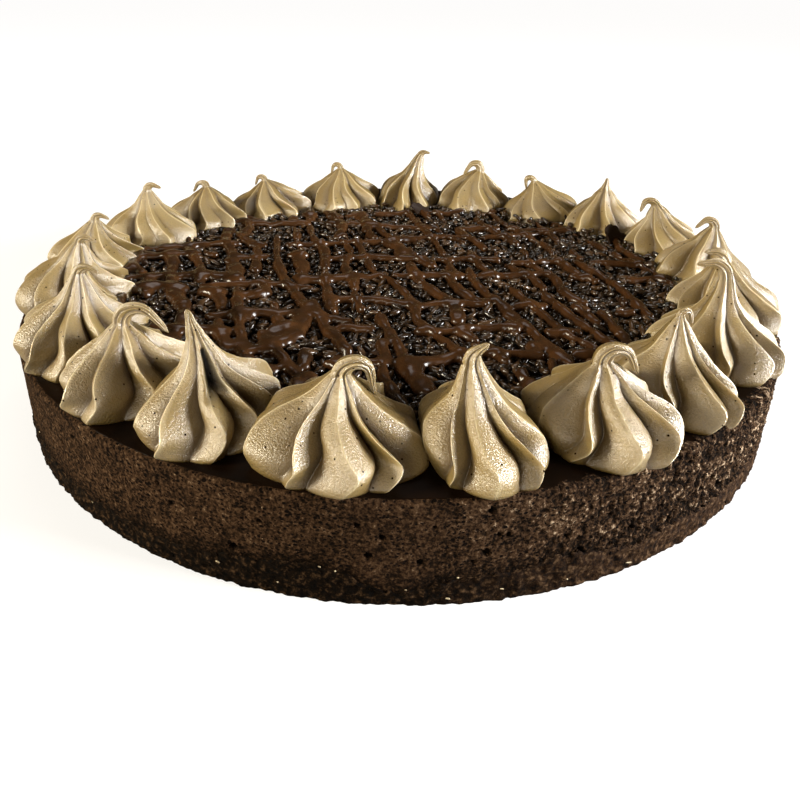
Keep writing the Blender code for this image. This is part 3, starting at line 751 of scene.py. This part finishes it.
def pipe_rosettes(material):
    tube = piped_tube()
    raw = coordinates(tube)
    levels = np.clip(np.round(raw[:, 2]), 0, BODY_LEVELS + TIP_LEVELS - 1).astype(int)
    columns = np.round(np.arctan2(raw[:, 1], raw[:, 0]) / math.tau * COLUMNS).astype(int) % COLUMNS
    foot_middle = raw[:, 2] < -0.5
    tip_end = raw[:, 2] > BODY_LEVELS + TIP_LEVELS - 0.5
    made = []
    for index in range(len(ROSETTES)):
        rosette = tube.copy()
        rosette.data = tube.data.copy()
        rosette.name = f"cream_rosette_{index + 1:02d}"
        rosette.data.name = rosette.name
        bpy.context.scene.collection.objects.link(rosette)
        points, *paints = shape_rosette(index, columns, levels)
        ring = ~foot_middle & ~tip_end
        points[foot_middle] = points[ring & (levels == 0)].mean(0)
        points[tip_end] = points[ring & (levels == levels.max())].mean(0)
        for k in range(len(points)):
            place = Vector(points[k])
            wave = sum(wave_vector(place / (size * MM)) * height * MM for size, height in CREAM_WAVES)
            points[k] += wave * min(1, max(0, (place.z - BODY_HEIGHT) / (3 * MM)))
        move_points(rosette, points)
        # Masks that the painted highlight on ridges and the painted shade in the valleys and the slit follow
        for name, values in zip(("crest_highlight", "hollow", "gap"), paints):
            paint(rosette, name, values)
        face_outwards(rosette)
        finish_piece(rosette, material, "mocha_cream", f"rosette_{index + 1:02d}")
        made.append(points[ring])
    bpy.data.objects.remove(tube)
    return made


# ---------------------------------------------------------------- body of the cake


def base_edge(angle):
    """Height at which crumb meets mousse on the side: as the solids have it, and in front as it was seen."""
    along = round_about(CAKE_RADIUS / BASE_EDGE_WAVE, angle)
    fine = round_about(CAKE_RADIUS / ROUGHNESS_GRAIN, angle, 9)
    height = BASE_HEIGHT + BASE_EDGE_SWING * (noise.noise(along) + 0.4 * noise.noise(fine))
    degrees = math.degrees(angle) % 360
    seen = float(np.interp(degrees, *zip(*FRONT_BASE_EDGE))) * MM
    share = float(smoothstep(205, 218, degrees) * (1 - smoothstep(318, 332, degrees)))
    height += (seen - height) * share
    ragged = round_about(CAKE_RADIUS / (3 * MM), angle, 3)
    crumbly = round_about(CAKE_RADIUS / (1.1 * MM), angle, 5)
    return max(1.2 * MM, height + 1.1 * MM * noise.noise(ragged) + 0.7 * MM * noise.noise(crumbly))


def wall(name, columns, rows, low, high):
    """An open band round the cake's side. Low and high give the height of its edges at an angle."""
    band = add_simple(bpy.ops.mesh.primitive_cylinder_add, name, centre=(0, 0, 0.5), vertices=columns,
                      radius=CAKE_RADIUS, depth=1, end_fill_type="NOTHING")
    mesh = band.data
    for part in (*mesh.vertices, *mesh.polygons):
        part.select = False
    for edge in mesh.edges:
        ends = [mesh.vertices[v].co.z for v in edge.vertices]
        edge.select = abs(ends[0] - ends[1]) > 0.5
    bpy.context.tool_settings.mesh_select_mode = (False, True, False)
    editing(True)
    bpy.ops.mesh.subdivide(number_cuts=rows - 1)
    editing(False)
    points = coordinates(band)
    angles = np.arctan2(points[:, 1], points[:, 0])
    shares = points[:, 2].copy()
    lows = np.array([low(a) for a in angles])
    highs = np.array([high(a) for a in angles])
    points[:, 2] = lows + (highs - lows) * shares
    move_points(band, points)
    return band, angles, shares


def close_ends(band, low_core, high_core):
    """Draws both open edges in over the core and closes them flat there."""
    make_active(band)
    editing(True)
    select_open_edge()
    bpy.ops.mesh.extrude_region_move(TRANSFORM_OT_translate={"value": (0, 0, 0)})
    inward = CORE_RADIUS / CAKE_RADIUS
    bpy.ops.transform.resize(value=(inward, inward, 1), center_override=(0, 0, 0))
    editing(False)
    points = coordinates(band)
    picked = np.array([v.select for v in band.data.vertices])
    middle = points[~picked, 2].mean()
    points[picked & (points[:, 2] < middle), 2] = low_core
    points[picked & (points[:, 2] > middle), 2] = high_core
    move_points(band, points)
    editing(True)
    bpy.ops.mesh.edge_face_add()
    editing(False)


def torn_share(angles):
    """The side was cut smooth on the left and in front, and torn open on the right."""
    return smoothstep(0.3, 0.95, np.cos(angles - math.radians(-20)))


def side_relief(points, torn, lift):
    """Relief of the cut side at each point, from -1 in a hollow to 1 on a crumb that stands out."""
    relief = np.empty(len(points))
    for k, point in enumerate(points):
        place = Vector(point)
        coarse = lumps(place, 1.7) - 0.15
        fine = ripple(place, 0.9)
        broad = ripple(place, 6)
        relief[k] = torn[k] * (1.0 * coarse + 0.35 * broad) + (1 - torn[k]) * 0.2 * broad + 0.22 * fine
    return np.clip(relief - 0.42 * lift, -1, 1)


def cut_mousse(material):
    """The porous side of the mousse, smoother on the left and torn open on the right."""
    band, angles, shares = wall("mousse_side", columns=2200, rows=42, low=lambda a: base_edge(a) - 0.5 * MM,
                                high=lambda a: MOUSSE_TOP)
    points = coordinates(band)
    torn = 0.12 + 0.88 * torn_share(angles)
    relief = side_relief(points, torn, 1 - smoothstep(0, 0.3, shares))
    depth = np.where(relief < 0, HOLLOW_DEPTH * relief, LUMP_HEIGHT * relief) * (0.4 + 0.6 * torn)
    # Round holes left by larger bubbles
    draw = draws("holes")
    small = [(draw.uniform(0, 360), draw.uniform(11, 27), draw.uniform(0.5, 0.9)) for _ in range(SMALL_HOLES)]
    around = np.degrees(angles) % 360
    hollow = np.zeros(len(points))
    for angle, height, width in (*MOUSSE_HOLES, *small):
        sideways = ((around - angle + 180) % 360 - 180) * math.pi / 180 * CAKE_RADIUS / MM
        away = np.hypot(sideways, (points[:, 2] / MM - height) * 1.2) / width
        hollow = np.maximum(hollow, 1 - smoothstep(0.55, 1.05, away))
    depth -= HOLE_DEPTH * hollow
    # The holes are painted darker too, as painted shade
    relief -= 1.5 * hollow
    # The upper edge stands up round the glaze, crumbly
    rim = smoothstep(0.9, 1, shares)
    for k in np.where(rim > 0)[0]:
        ragged = 0.7 * ripple(points[k], 3.5) + 0.5 * ripple(points[k], 1.2)
        points[k, 2] += rim[k] * (1.1 + 0.75 * torn[k] + (0.2 + 0.9 * torn[k]) * ragged) * MM
    points[:, :2] *= (1 + depth / CAKE_RADIUS)[:, None]
    points[:, :2] *= (1 - 0.6 * MM * smoothstep(0.97, 1, shares) / CAKE_RADIUS)[:, None]
    move_points(band, points)
    close_ends(band, 2 * MM, MOUSSE_TOP - 0.5 * MM)
    # The relief is painted for the colour: painted shade in hollows and holes, darker towards the foot, and a
    # painted highlight on what stands out
    values = np.full(len(band.data.vertices), 0.4)
    values[: len(relief)] = 0.5 + 0.5 * np.clip(relief, -1, 1)
    paint(band, "relief", values)
    values[: len(torn)] = torn
    paint(band, "torn", values)
    face_outwards(band)
    return finish_piece(band, material, "chocolate_mousse", "mousse_layer")


def press_crumb_base(material):
    """The ragged crumb base."""
    band, angles, shares = wall("crumb_base_side", columns=1500, rows=22, low=lambda a: 0.0,
                                high=lambda a: base_edge(a) + 0.5 * MM)
    points = coordinates(band)
    for k, point in enumerate(points):
        place = Vector(point)
        points[k, :2] *= 1 + CLUMP_HEIGHT * lumps(place, CLUMP_WIDTH) / CAKE_RADIUS
        if 0 < shares[k] < 1:
            points[k, 2] += 0.3 * MM * ripple(place, 1.3)
    points[:, 2] = np.maximum(points[:, 2], 0)
    move_points(band, points)
    close_ends(band, 0.0, BASE_HEIGHT)
    torn = np.zeros(len(band.data.vertices))
    torn[: len(angles)] = torn_share(angles)
    paint(band, "torn", torn)
    face_outwards(band)
    return finish_piece(band, material, *CRUMB)


def stick_crumbs(crumb, stray):
    """Loose crumbs along the base and on the mousse just above it, and a few pale ones that strayed there."""
    draw = draws("crumbs")
    count = STUCK_CRUMBS
    angles = [draw.uniform(0, math.tau) for _ in range(count)]
    heights = []
    for angle in angles:
        share = draw.choice((draw.uniform(0, 1), draw.gauss(1.02, 0.14), draw.expovariate(0.9)))
        heights.append(max(0.7 * MM, min(26 * MM, share * base_edge(angle))))
    sunk = [CAKE_RADIUS + draw.uniform(-0.9, -0.35) * MM for _ in range(count)]
    places = np.array([round_about(*at) for at in zip(sunk, angles, heights)])
    turns = random_turns(draw, count, *[(0, math.tau)] * 3)
    widths = [0.45 + 0.75 * draw.random() ** 2 for _ in range(count)]
    widths = [min(w, 1.2) if h > 12 * MM else w for w, h in zip(widths, heights)]
    sizes = np.array([(w, w * draw.uniform(0.6, 1), w * draw.uniform(0.5, 0.9)) for w in widths]) * MM
    places[:, 2] = np.maximum(places[:, 2], sizes.max(1) * 0.7)
    scatter("stuck_crumbs", chip_template(), places, turns, sizes, np.zeros(count), crumb, CRUMB)
    angles, heights, lengths, widths = np.transpose(PALE_CRUMBS)
    count = len(angles)
    angles = np.radians(angles)
    places = np.array([round_about(CAKE_RADIUS + 0.5 * MM, *at) for at in zip(angles, heights * MM)])
    turns = turned(angles + math.pi / 2, [0.3] * count, [0.2] * count)
    sizes = np.stack((lengths, widths, widths), 1) * MM
    scatter("pale_crumbs", chip_template(), places, turns, sizes, np.zeros(count), stray, CRUMB)


def pour_glaze(material):
    """The thin glaze over the mousse. It stops short of the rim, with an edge that wanders a little."""
    sheet = add_simple(bpy.ops.mesh.primitive_cylinder_add, "glaze_sheet", vertices=720,
                       centre=(0, 0, BODY_HEIGHT - GLAZE_THICKNESS / 2), radius=CAKE_RADIUS - GLAZE_INSET,
                       depth=GLAZE_THICKNESS, end_fill_type="NGON")
    apply_modifier(sheet, "BEVEL", width=0.5 * MM, segments=3, limit_method="ANGLE")
    points = coordinates(sheet)
    torn = torn_share(np.arctan2(points[:, 1], points[:, 0]))
    for k, (x, y, _) in enumerate(points):
        wander = ripple((x, y, 0), 9) + 0.5 * ripple((x, y, 5 * MM), 2.5)
        points[k, :2] *= 1 + ((0.2 + 0.5 * torn[k]) * wander - torn[k]) * MM / CAKE_RADIUS
    move_points(sheet, points)
    return finish_piece(sheet, material, "dark_glaze", "chocolate_glaze")


# ---------------------------------------------------------------- topping


TOPPING_COLUMNS = 240
TOPPING_REACH = 108 * MM
BED_LEVELS = 60
BED_HEIGHT = 1.3 * MM
# Granules: how high they heap up against the cream, how far from it the heap begins, and how far
# below the level of the drizzle they stay under it
HEAP_HEIGHT = 2.4 * MM
HEAP_REACH = 7 * MM
UNDER_DRIZZLE = 1.9 * MM


def topping_outline(rosettes):
    """How far the topping reaches at each angle: up to the feet of the cream."""
    count = TOPPING_COLUMNS
    nearest = np.full(count, TOPPING_REACH)
    for points in rosettes:
        low = points[points[:, 2] < BODY_HEIGHT + 5 * MM]
        radius = np.hypot(low[:, 0], low[:, 1])
        place = np.round(np.arctan2(low[:, 1], low[:, 0]) / math.tau * count).astype(int) % count
        np.minimum.at(nearest, place, radius)
    return nearest


def outline_at(outline, angles):
    place = (np.asarray(angles) % math.tau) / math.tau * len(outline)
    low = np.floor(place).astype(int) % len(outline)
    share = place - np.floor(place)
    return outline[low] * (1 - share) + outline[(low + 1) % len(outline)] * share


def scatter(name, template, places, turns, sizes, tones, material, dressing):
    """Joins many copies of one small shape, each turned, sized and toned."""
    base = coordinates(template)
    points = np.einsum("nij,nkj->nki", turns, base[None] * sizes[:, None, :]) + places[:, None, :]
    sides = [tuple(face.vertices) for face in template.data.polygons]
    firsts = range(0, len(places) * len(base), len(base))
    faces = [tuple(v + first for v in side) for first in firsts for side in sides]
    obj = add_mesh(name, points.reshape(-1, 3), faces)
    paint(obj, "tone", np.repeat(tones, len(base)))
    finish_piece(obj, material, *dressing)
    bpy.data.objects.remove(template)


def seed_template():
    """A long tumbled granule, blunt at one end."""
    seed = add_simple(bpy.ops.mesh.primitive_uv_sphere_add, "seed", turn=(0, math.pi / 2, 0), segments=7,
                      ring_count=5, radius=0.5)
    points = coordinates(seed)
    points[:, 1] *= 0.85 + 0.3 * points[:, 0]
    points[:, 2] *= 0.95 - 0.25 * points[:, 0]
    move_points(seed, points)
    return seed


def chip_template():
    """A short broken granule with worn corners."""
    chip = add_simple(bpy.ops.mesh.primitive_cube_add, "chip", size=1)
    apply_modifier(chip, "BEVEL", width=0.2, segments=1, limit_method="NONE")
    points = coordinates(chip)
    points[:, 1] *= 0.8 + 0.35 * points[:, 0]
    points[:, 2] += 0.12 * points[:, 0] * points[:, 1]
    move_points(chip, points)
    return chip


def turned(yaws, pitches, rolls):
    return np.array([np.array(Euler((r, p, y)).to_matrix()) for y, p, r in zip(yaws, pitches, rolls)])


def random_turns(draw, count, *limits):
    """Turns drawn at random, within the limits for yaw, pitch and roll."""
    return turned(*([draw.uniform(low, high) for _ in range(count)] for low, high in limits))


def spread(draw, spacing, outline, margin):
    """Jittered rows of places within the outline."""
    places = []
    row_gap = spacing * math.sin(math.pi / 3)
    for row in range(int(2 * CAKE_RADIUS / row_gap)):
        for column in range(int(2 * CAKE_RADIUS / spacing)):
            x = -CAKE_RADIUS + (column + 0.5 * (row % 2) + draw.uniform(-0.5, 0.5)) * spacing
            y = -CAKE_RADIUS + (row + draw.uniform(-0.5, 0.5)) * row_gap
            if math.hypot(x, y) < outline_at(outline, math.atan2(y, x)) + margin:
                places.append((x, y))
    return np.array(places)


DRIZZLE_STEP = 0.6 * MM
DRIZZLE_LEVEL = 4.0 * MM
DRIZZLE_THICKNESS = 2.3 * MM
DRIZZLE_SHEET = 0.9 * MM
DRIZZLE_REACH = 112.0
STRAND_EDGE = 0.35
# The lines between the clear ones: heading and its spread in degrees, then gaps and widths in mm
STRAND_FAMILIES = ((-72, 9, 8.5, 12, 3.0, 4.6), (4, 12, 15, 24, 2.6, 3.8))
# Drizzle lines that the photograph shows clearly: points in mm, then the width at each end
DRIZZLE = (
    (((25, 2), (27, -14), (33, -30), (49, -74)), 3.4, 4.8),
    (((49, -21), (56, -40), (65, -62)), 3.0, 4.2),
    (((67, 12), (77, -13), (82, -40)), 2.8, 3.6),
    (((-29, -33), (-23, -51), (-14, -70)), 3.4, 4.6),
    (((-7, -41), (-2, -59), (8, -92)), 3.4, 6.0),
    (((-52, 32), (-44, -6), (-34, -30), (-26, -46)), 3.0, 4.2),
    (((-57, -22), (-50, -50), (-44, -72)), 3.4, 4.6),
    (((-42, -57), (-28, -82)), 4.0, 5.0),
    (((-70, -22), (-47, -18), (-30, -21)), 3.4, 3.0),
    (((-62, -46), (-32, -42), (-14, -47)), 3.8, 3.4),
)
# Where the drizzle ran together: place and width in mm
POOLS = ((-40, -66, 8), (-50, -46, 7), (3, -76, 8), (40, -62, 6))


def strand_families():
    """More lines between the clear ones: some down the cake, fewer across it, all a little wavy."""
    draw = draws("strands")
    for middle, turn, low_gap, high_gap, thin, thick in STRAND_FAMILIES:
        offset = -DRIZZLE_REACH
        while offset < DRIZZLE_REACH:
            heading = math.radians(middle + draw.uniform(-turn, turn))
            along = Vector((math.cos(heading), math.sin(heading)))
            across = Vector((-along.y, along.x))
            points, far = [], -DRIZZLE_REACH
            while far < DRIZZLE_REACH:
                points.append((along * far + across * (offset + draw.uniform(-2.8, 2.8))) * MM)
                far += draw.uniform(11, 22)
            width = draw.uniform(thin, thick)
            yield points, width * MM, width * draw.uniform(0.8, 1.2) * MM
            offset += draw.uniform(low_gap, high_gap)


def curve_points(points, step=1.0 * MM):
    """A smooth line through the points, cut into short steps."""
    far = np.concatenate(([0], np.cumsum([(b - a).length for a, b in zip(points, points[1:])])))
    at = np.arange(0, far[-1], step)
    return np.stack([through(list(zip(far, axis)), at) for axis in zip(*points)], 1)


def add_strand(field, grid_x, grid_y, line, widths):
    """Lays one strand over the field: highest in its middle, and added to what lies there."""
    strand = np.zeros_like(field)
    for (x, y), wide in zip(line, widths):
        if wide <= 0 or math.hypot(x, y) > DRIZZLE_REACH * MM:
            continue
        reach = wide / 2 / math.sqrt(1 - math.sqrt(STRAND_EDGE))
        part = []
        for middle in (y, x):
            low = int((middle - reach + CAKE_RADIUS) / DRIZZLE_STEP)
            part.append(slice(max(0, low), int((middle + reach + CAKE_RADIUS) / DRIZZLE_STEP) + 2))
        part = tuple(part)
        away = ((grid_x[part] - x) ** 2 + (grid_y[part] - y) ** 2) / reach**2
        strand[part] = np.maximum(strand[part], np.clip(1 - away, 0, 1) ** 2)
    field += strand


def drizzle_field(grid_x, grid_y):
    """How much drizzle lies over each place. Strands that cross run together at their corners."""
    field = np.zeros(grid_x.shape)
    draw = draws("swell")
    clear = []
    for points, first, last in DRIZZLE:
        line = curve_points([Vector(point) * MM for point in points])
        shares = np.linspace(0, 1, len(line))
        swell = 1 + 0.16 * np.sin(np.arange(len(line)) / 6 + draw.uniform(0, 6))
        ends = smoothstep(-0.02, 0.06, shares) * (1 - smoothstep(0.95, 1.04, shares))
        add_strand(field, grid_x, grid_y, line, (first + (last - first) * shares) * swell * ends * MM)
        clear.extend(line)
    clear = np.array(clear)
    for points, first, last in strand_families():
        line = curve_points(points)
        near = np.hypot(*np.moveaxis(line[:, None] - clear[None], 2, 0)).min(1)
        shares = np.linspace(0, 1, len(line))
        swell = 1 + 0.22 * np.sin(np.arange(len(line)) / 8 + draw.uniform(0, 6))
        kept = smoothstep(2.5 * MM, 6 * MM, near)
        # Thinner to the right and the back
        aside = 0.7 * line[:, 0] + 0.5 * line[:, 1]
        place = 1.42 - 0.38 * smoothstep(-65, -15, aside / MM) - 0.27 * smoothstep(-10, 60, aside / MM)
        breaks = [noise.noise(Vector((x, y, 0)) / (9 * MM) + Vector((0, 0, first / MM))) for x, y in line]
        widths = (first + (last - first) * shares) * swell * place
        widths = widths * (1 - smoothstep(0.12, 0.4, np.array(breaks)))
        add_strand(field, grid_x, grid_y, line, np.where(kept > 0.5, widths, 0))
    for x, y, width in POOLS:
        add_strand(field, grid_x, grid_y, [(x * MM, y * MM)], [width * MM])
    return field


def topping_swell(x, y):
    """How the topping as a whole rises and sinks a little from place to place."""
    return 0.9 * MM * ripple((x, y, 0), 14) + 0.7 * MM * ripple((x, y, 9), 5)


def drizzle_ganache(material, outline, grid_x, grid_y, field):
    """The web of drizzle over the granules, as one closed sheet with a hole wherever granules show."""
    radius = np.hypot(grid_x, grid_y)
    edge = outline_at(outline, np.arctan2(grid_y, grid_x).ravel()).reshape(grid_x.shape)
    for j, i in zip(*np.where(field > 0.05)):
        place = (grid_x[j, i], grid_y[j, i], 3 * MM)
        field[j, i] += 0.3 * ripple(place, 5) + 0.16 * ripple(place, 2.2)
    field = np.where(radius > edge + 1.5 * MM, 0, field)
    fill = (field - STRAND_EDGE) / (1 - STRAND_EDGE)
    shown = fill > 0
    keep = shown[:-1, :-1] | shown[1:, :-1] | shown[:-1, 1:] | shown[1:, 1:]
    # Squares that would meet at a corner only are joined by the one beside them
    keep[1:, :-1] |= keep[:-1, :-1] & keep[1:, 1:] & ~keep[:-1, 1:]
    keep[:-1, :-1] |= keep[1:, :-1] & keep[:-1, 1:] & ~keep[1:, 1:]
    used = np.zeros_like(shown)
    for rows in (slice(None, -1), slice(1, None)):
        for columns in (slice(None, -1), slice(1, None)):
            used[rows, columns] |= keep
    # Points just outside a strand are drawn in to its edge, so that the edge runs smoothly
    slope_y, slope_x = np.gradient(fill, DRIZZLE_STEP)
    steep = np.maximum(slope_x**2 + slope_y**2, 1e-6)
    pull = np.minimum(np.where(used & ~shown, -fill / steep, 0), DRIZZLE_STEP / np.sqrt(steep))
    x = grid_x + slope_x * pull
    y = grid_y + slope_y * pull
    full = np.clip(fill, 0, 1)
    height = np.zeros_like(field)
    for j, i in zip(*np.where(used)):
        height[j, i] = BODY_HEIGHT + DRIZZLE_LEVEL + topping_swell(x[j, i], y[j, i])
    height += DRIZZLE_THICKNESS * np.sqrt(1 - (1 - full) ** 2) - 0.5 * DRIZZLE_THICKNESS
    height += 0.5 * MM * np.clip(fill - 1, 0, 1)
    numbers = -np.ones(grid_x.shape, dtype=int)
    numbers[used] = np.arange(used.sum())
    corners = np.stack((numbers[:-1, :-1], numbers[:-1, 1:], numbers[1:, 1:], numbers[1:, :-1]), 2)
    web = add_mesh("ganache_drizzle", np.stack((x[used], y[used], height[used]), 1), corners[keep].tolist())
    apply_modifier(web, "SMOOTH", factor=0.5, iterations=2)
    apply_modifier(web, "SOLIDIFY", thickness=DRIZZLE_SHEET, offset=-1)
    return finish_piece(web, material, *TOPPING)


def topping_bed(material, outline):
    """The lowest granules, sunk in the glaze, as one low bumpy disc."""
    bed = tower("granule_bed", TOPPING_COLUMNS, BED_LEVELS + 1)
    bpy.ops.mesh.edge_face_add()
    editing(False)
    raw = coordinates(bed)
    level = raw[:, 2]
    angle = np.arctan2(raw[:, 1], raw[:, 0])
    radius = outline_at(outline, angle) * (1 - np.clip(level - 1, 0, BED_LEVELS) / BED_LEVELS)
    radius[level > BED_LEVELS + 0.5] = 0
    points = np.stack((radius * np.cos(angle), radius * np.sin(angle), np.full(len(raw), CREAM_FOOT)), 1)
    raised = level > 0.5
    points[raised, 2] += BED_HEIGHT
    for k in np.where(raised)[0]:
        points[k, 2] += 0.5 * MM * ripple(points[k], 2)
    move_points(bed, points)
    paint(bed, "tone", np.full(len(points), 0.1))
    face_outwards(bed)
    return finish_piece(bed, material, *TOPPING)


def scatter_granules(chocolate, outline, field):
    """Two kinds of granule, lying as they fell: heaped in the gaps of the drizzle and against the cream."""
    for name, template, spacing, length, thick in (
        ("long_granules", seed_template(), 3.05, (3.6, 6.4), (1.9, 2.8)),
        ("short_granules", chip_template(), 3.2, (1.8, 3.6), (1.5, 2.3)),
    ):
        draw = draws(name)
        flat = spread(draw, spacing * MM, outline, 0.6 * MM)
        count = len(flat)
        columns = np.round((flat + CAKE_RADIUS) / DRIZZLE_STEP).astype(int)
        covered = field[columns[:, 1], columns[:, 0]]
        heights = []
        for (x, y), over in zip(flat, covered):
            lift = draw.uniform(0.9, 3.4) * MM
            to_edge = outline_at(outline, math.atan2(y, x)) - math.hypot(x, y)
            behind = smoothstep(-30 * MM, 60 * MM, 0.8 * x + 0.5 * y)
            heap = HEAP_HEIGHT * (1 - smoothstep(0, HEAP_REACH, to_edge)) * (0.3 + 0.7 * behind)
            top = lift + heap + topping_swell(x, y)
            if over > 0.75 * STRAND_EDGE:
                top = min(top, DRIZZLE_LEVEL - UNDER_DRIZZLE + topping_swell(x, y))
            heights.append(BODY_HEIGHT + max(0.8 * MM, top))
        places = np.column_stack((flat, heights))
        turns = random_turns(draw, count, (0, math.tau), (-0.5, 0.5), (-0.6, 0.6))
        sizes = np.array([(draw.uniform(*length), draw.uniform(*thick), draw.uniform(*thick) * 0.85)
                          for _ in range(count)]) * MM
        tones = np.array([draw.random() ** 1.3 for _ in range(count)])
        scatter(name, template, places, turns, sizes, tones, chocolate, TOPPING)


def add_flakes(chocolate):
    """A few larger flakes that stand up against the cream, as one piece."""
    leaf = add_simple(bpy.ops.mesh.primitive_grid_add, "leaf_flake", size=1, x_subdivisions=14,
                      y_subdivisions=6)
    points = coordinates(leaf)
    narrowing = np.sqrt(np.clip(1 - (2 * points[:, 0]) ** 2, 0.02, 1))
    torn_edge = [noise.noise(Vector((4.1 * x, 2 * np.sign(y), 0))) for x, y in points[:, :2]]
    points[:, 1] *= narrowing * (0.8 + 0.9 * np.array(torn_edge))
    points[:, 2] = 0.25 * points[:, 0] ** 2 + 0.35 * points[:, 1] ** 2
    move_points(leaf, points)
    apply_modifier(leaf, "SOLIDIFY", thickness=0.06, offset=0)
    rows = np.array(FLAKES)
    places = rows[:, :3] * MM + (0, 0, BODY_HEIGHT)
    scatter("chocolate_flakes", leaf, places, turned(*np.radians(rows[:, 5:]).T), rows[:, [3, 4, 3]] * MM,
            np.linspace(0.3, 0.9, len(rows)), chocolate, TOPPING)


LOOP_PLACE = (59 * MM, 72 * MM, BODY_HEIGHT + 5.0 * MM)


def stand_loop(material):
    """A little loop of ganache that set standing up."""
    loop = add_simple(bpy.ops.mesh.primitive_torus_add, "standing_loop",
                      turn=(math.pi / 2, 0, math.radians(25)), major_segments=28, minor_segments=10,
                      major_radius=2.4 * MM, minor_radius=0.55 * MM)
    points = coordinates(loop)
    points[:, 2] *= 1.15
    points += LOOP_PLACE
    move_points(loop, points)
    return finish_piece(loop, material, *TOPPING)


def make_topping(rosettes):
    chocolate = tumbled_chocolate("tumbled_dark_chocolate", "#0A0502", "#48331F", 0.23, 0.75)
    drizzled = ganache()
    outline = topping_outline(rosettes)
    count = int(2 * CAKE_RADIUS / DRIZZLE_STEP)
    axis = -CAKE_RADIUS + np.arange(count + 1) * DRIZZLE_STEP
    grid_x, grid_y = np.meshgrid(axis, axis)
    field = drizzle_field(grid_x, grid_y)
    topping_bed(chocolate, outline)
    scatter_granules(chocolate, outline, field)
    drizzle_ganache(drizzled, outline, grid_x, grid_y, field)
    add_flakes(tumbled_chocolate("broken_chocolate_flake", "#170E07", "#2E1D10", 0.65, 0.12))
    stand_loop(drizzled)


# ---------------------------------------------------------------- stage


def seen_only(tree, seen, unseen):
    """One colour for what the camera sees, and another for the light that goes round the room."""
    camera_ray = add(tree, "LightPath").outputs["Is Camera Ray"]
    return mix(tree, camera_ray, unseen, seen)


def lay_floor():
    """A matt white floor, which throws less light on the cake than it shows, and shows white far away too."""
    floor = add_simple(bpy.ops.mesh.primitive_plane_add, "pale_floor", size=24)
    material, tree, shader, place = new_material("matt_white_floor", 0.8, 0.5)
    far = add(tree, "VectorMath", {0: place}, operation="LENGTH").outputs["Value"]
    glow = ramp(tree, far, (0.15, 0.64), (0.9, 0.95))
    feed(tree, shader, {"Base Color": seen_only(tree, shade(0.4), shade(0.3)),
                        "Emission Color": seen_only(tree, glow, shade(0.02))})
    shader.inputs["Emission Strength"].default_value = 1
    floor.data.materials.append(material)


LIGHT_AIM = Vector((0, 0, 0.03))


def soft_light(name, place, size, power, colour="#FFFFFF"):
    light = bpy.data.lights.new(name, "AREA")
    light.shape = "RECTANGLE"
    light.size, light.size_y = size
    light.energy = power
    light.color = linear(colour)[:3]
    lamp = bpy.data.objects.new(name, light)
    lamp.location = place
    lamp.rotation_euler = (LIGHT_AIM - lamp.location).to_track_quat("-Z", "Y").to_euler()
    bpy.context.scene.collection.objects.link(lamp)


def set_stage():
    lay_floor()
    soft_light("key_right", (0.93, -0.26, 0.29), (0.35, 0.22), 27)
    soft_light("fill_left", (-0.88, -0.36, 0.34), (0.22, 0.22), 13, "#FFF4DA")
    soft_light("fill_front", (-0.45, -0.85, 0.36), (0.4, 0.4), 3.2, "#FFF8E8")
    soft_light("over_top", (-0.1, 0.45, 0.95), (0.5, 0.4), 1.8)
    world = bpy.data.worlds.new("studio")
    bpy.context.scene.world = world
    world.use_nodes = True
    background = world.node_tree.nodes["Background"]
    background.inputs["Color"].default_value = linear("#FFD59A")
    background.inputs["Strength"].default_value = 0.08
    bpy.context.scene.view_settings.view_transform = "Standard"


def place_camera():
    camera = bpy.data.cameras.new("camera")
    camera.sensor_width = 36
    camera.lens = LENS
    camera.shift_y = CAMERA_SHIFT_Y
    camera.clip_start = 0.01
    holder = bpy.data.objects.new("camera", camera)
    holder.matrix_world = (
        Matrix.Translation(CAMERA_PLACE)
        @ Euler((math.radians(90 - CAMERA_DOWN), 0, 0)).to_matrix().to_4x4()
        @ Matrix.Rotation(math.radians(CAMERA_ROLL), 4, "Z")
    )
    bpy.context.scene.collection.objects.link(holder)
    bpy.context.scene.camera = holder


def make_looks():
    crumb = pressed_crumb()
    press_crumb_base(crumb)
    stick_crumbs(crumb, pale_crumb())
    cut_mousse(set_mousse())
    pour_glaze(poured_glaze())
    make_topping(pipe_rosettes(whipped_cream()))
    set_stage()
    place_camera()


make_looks()
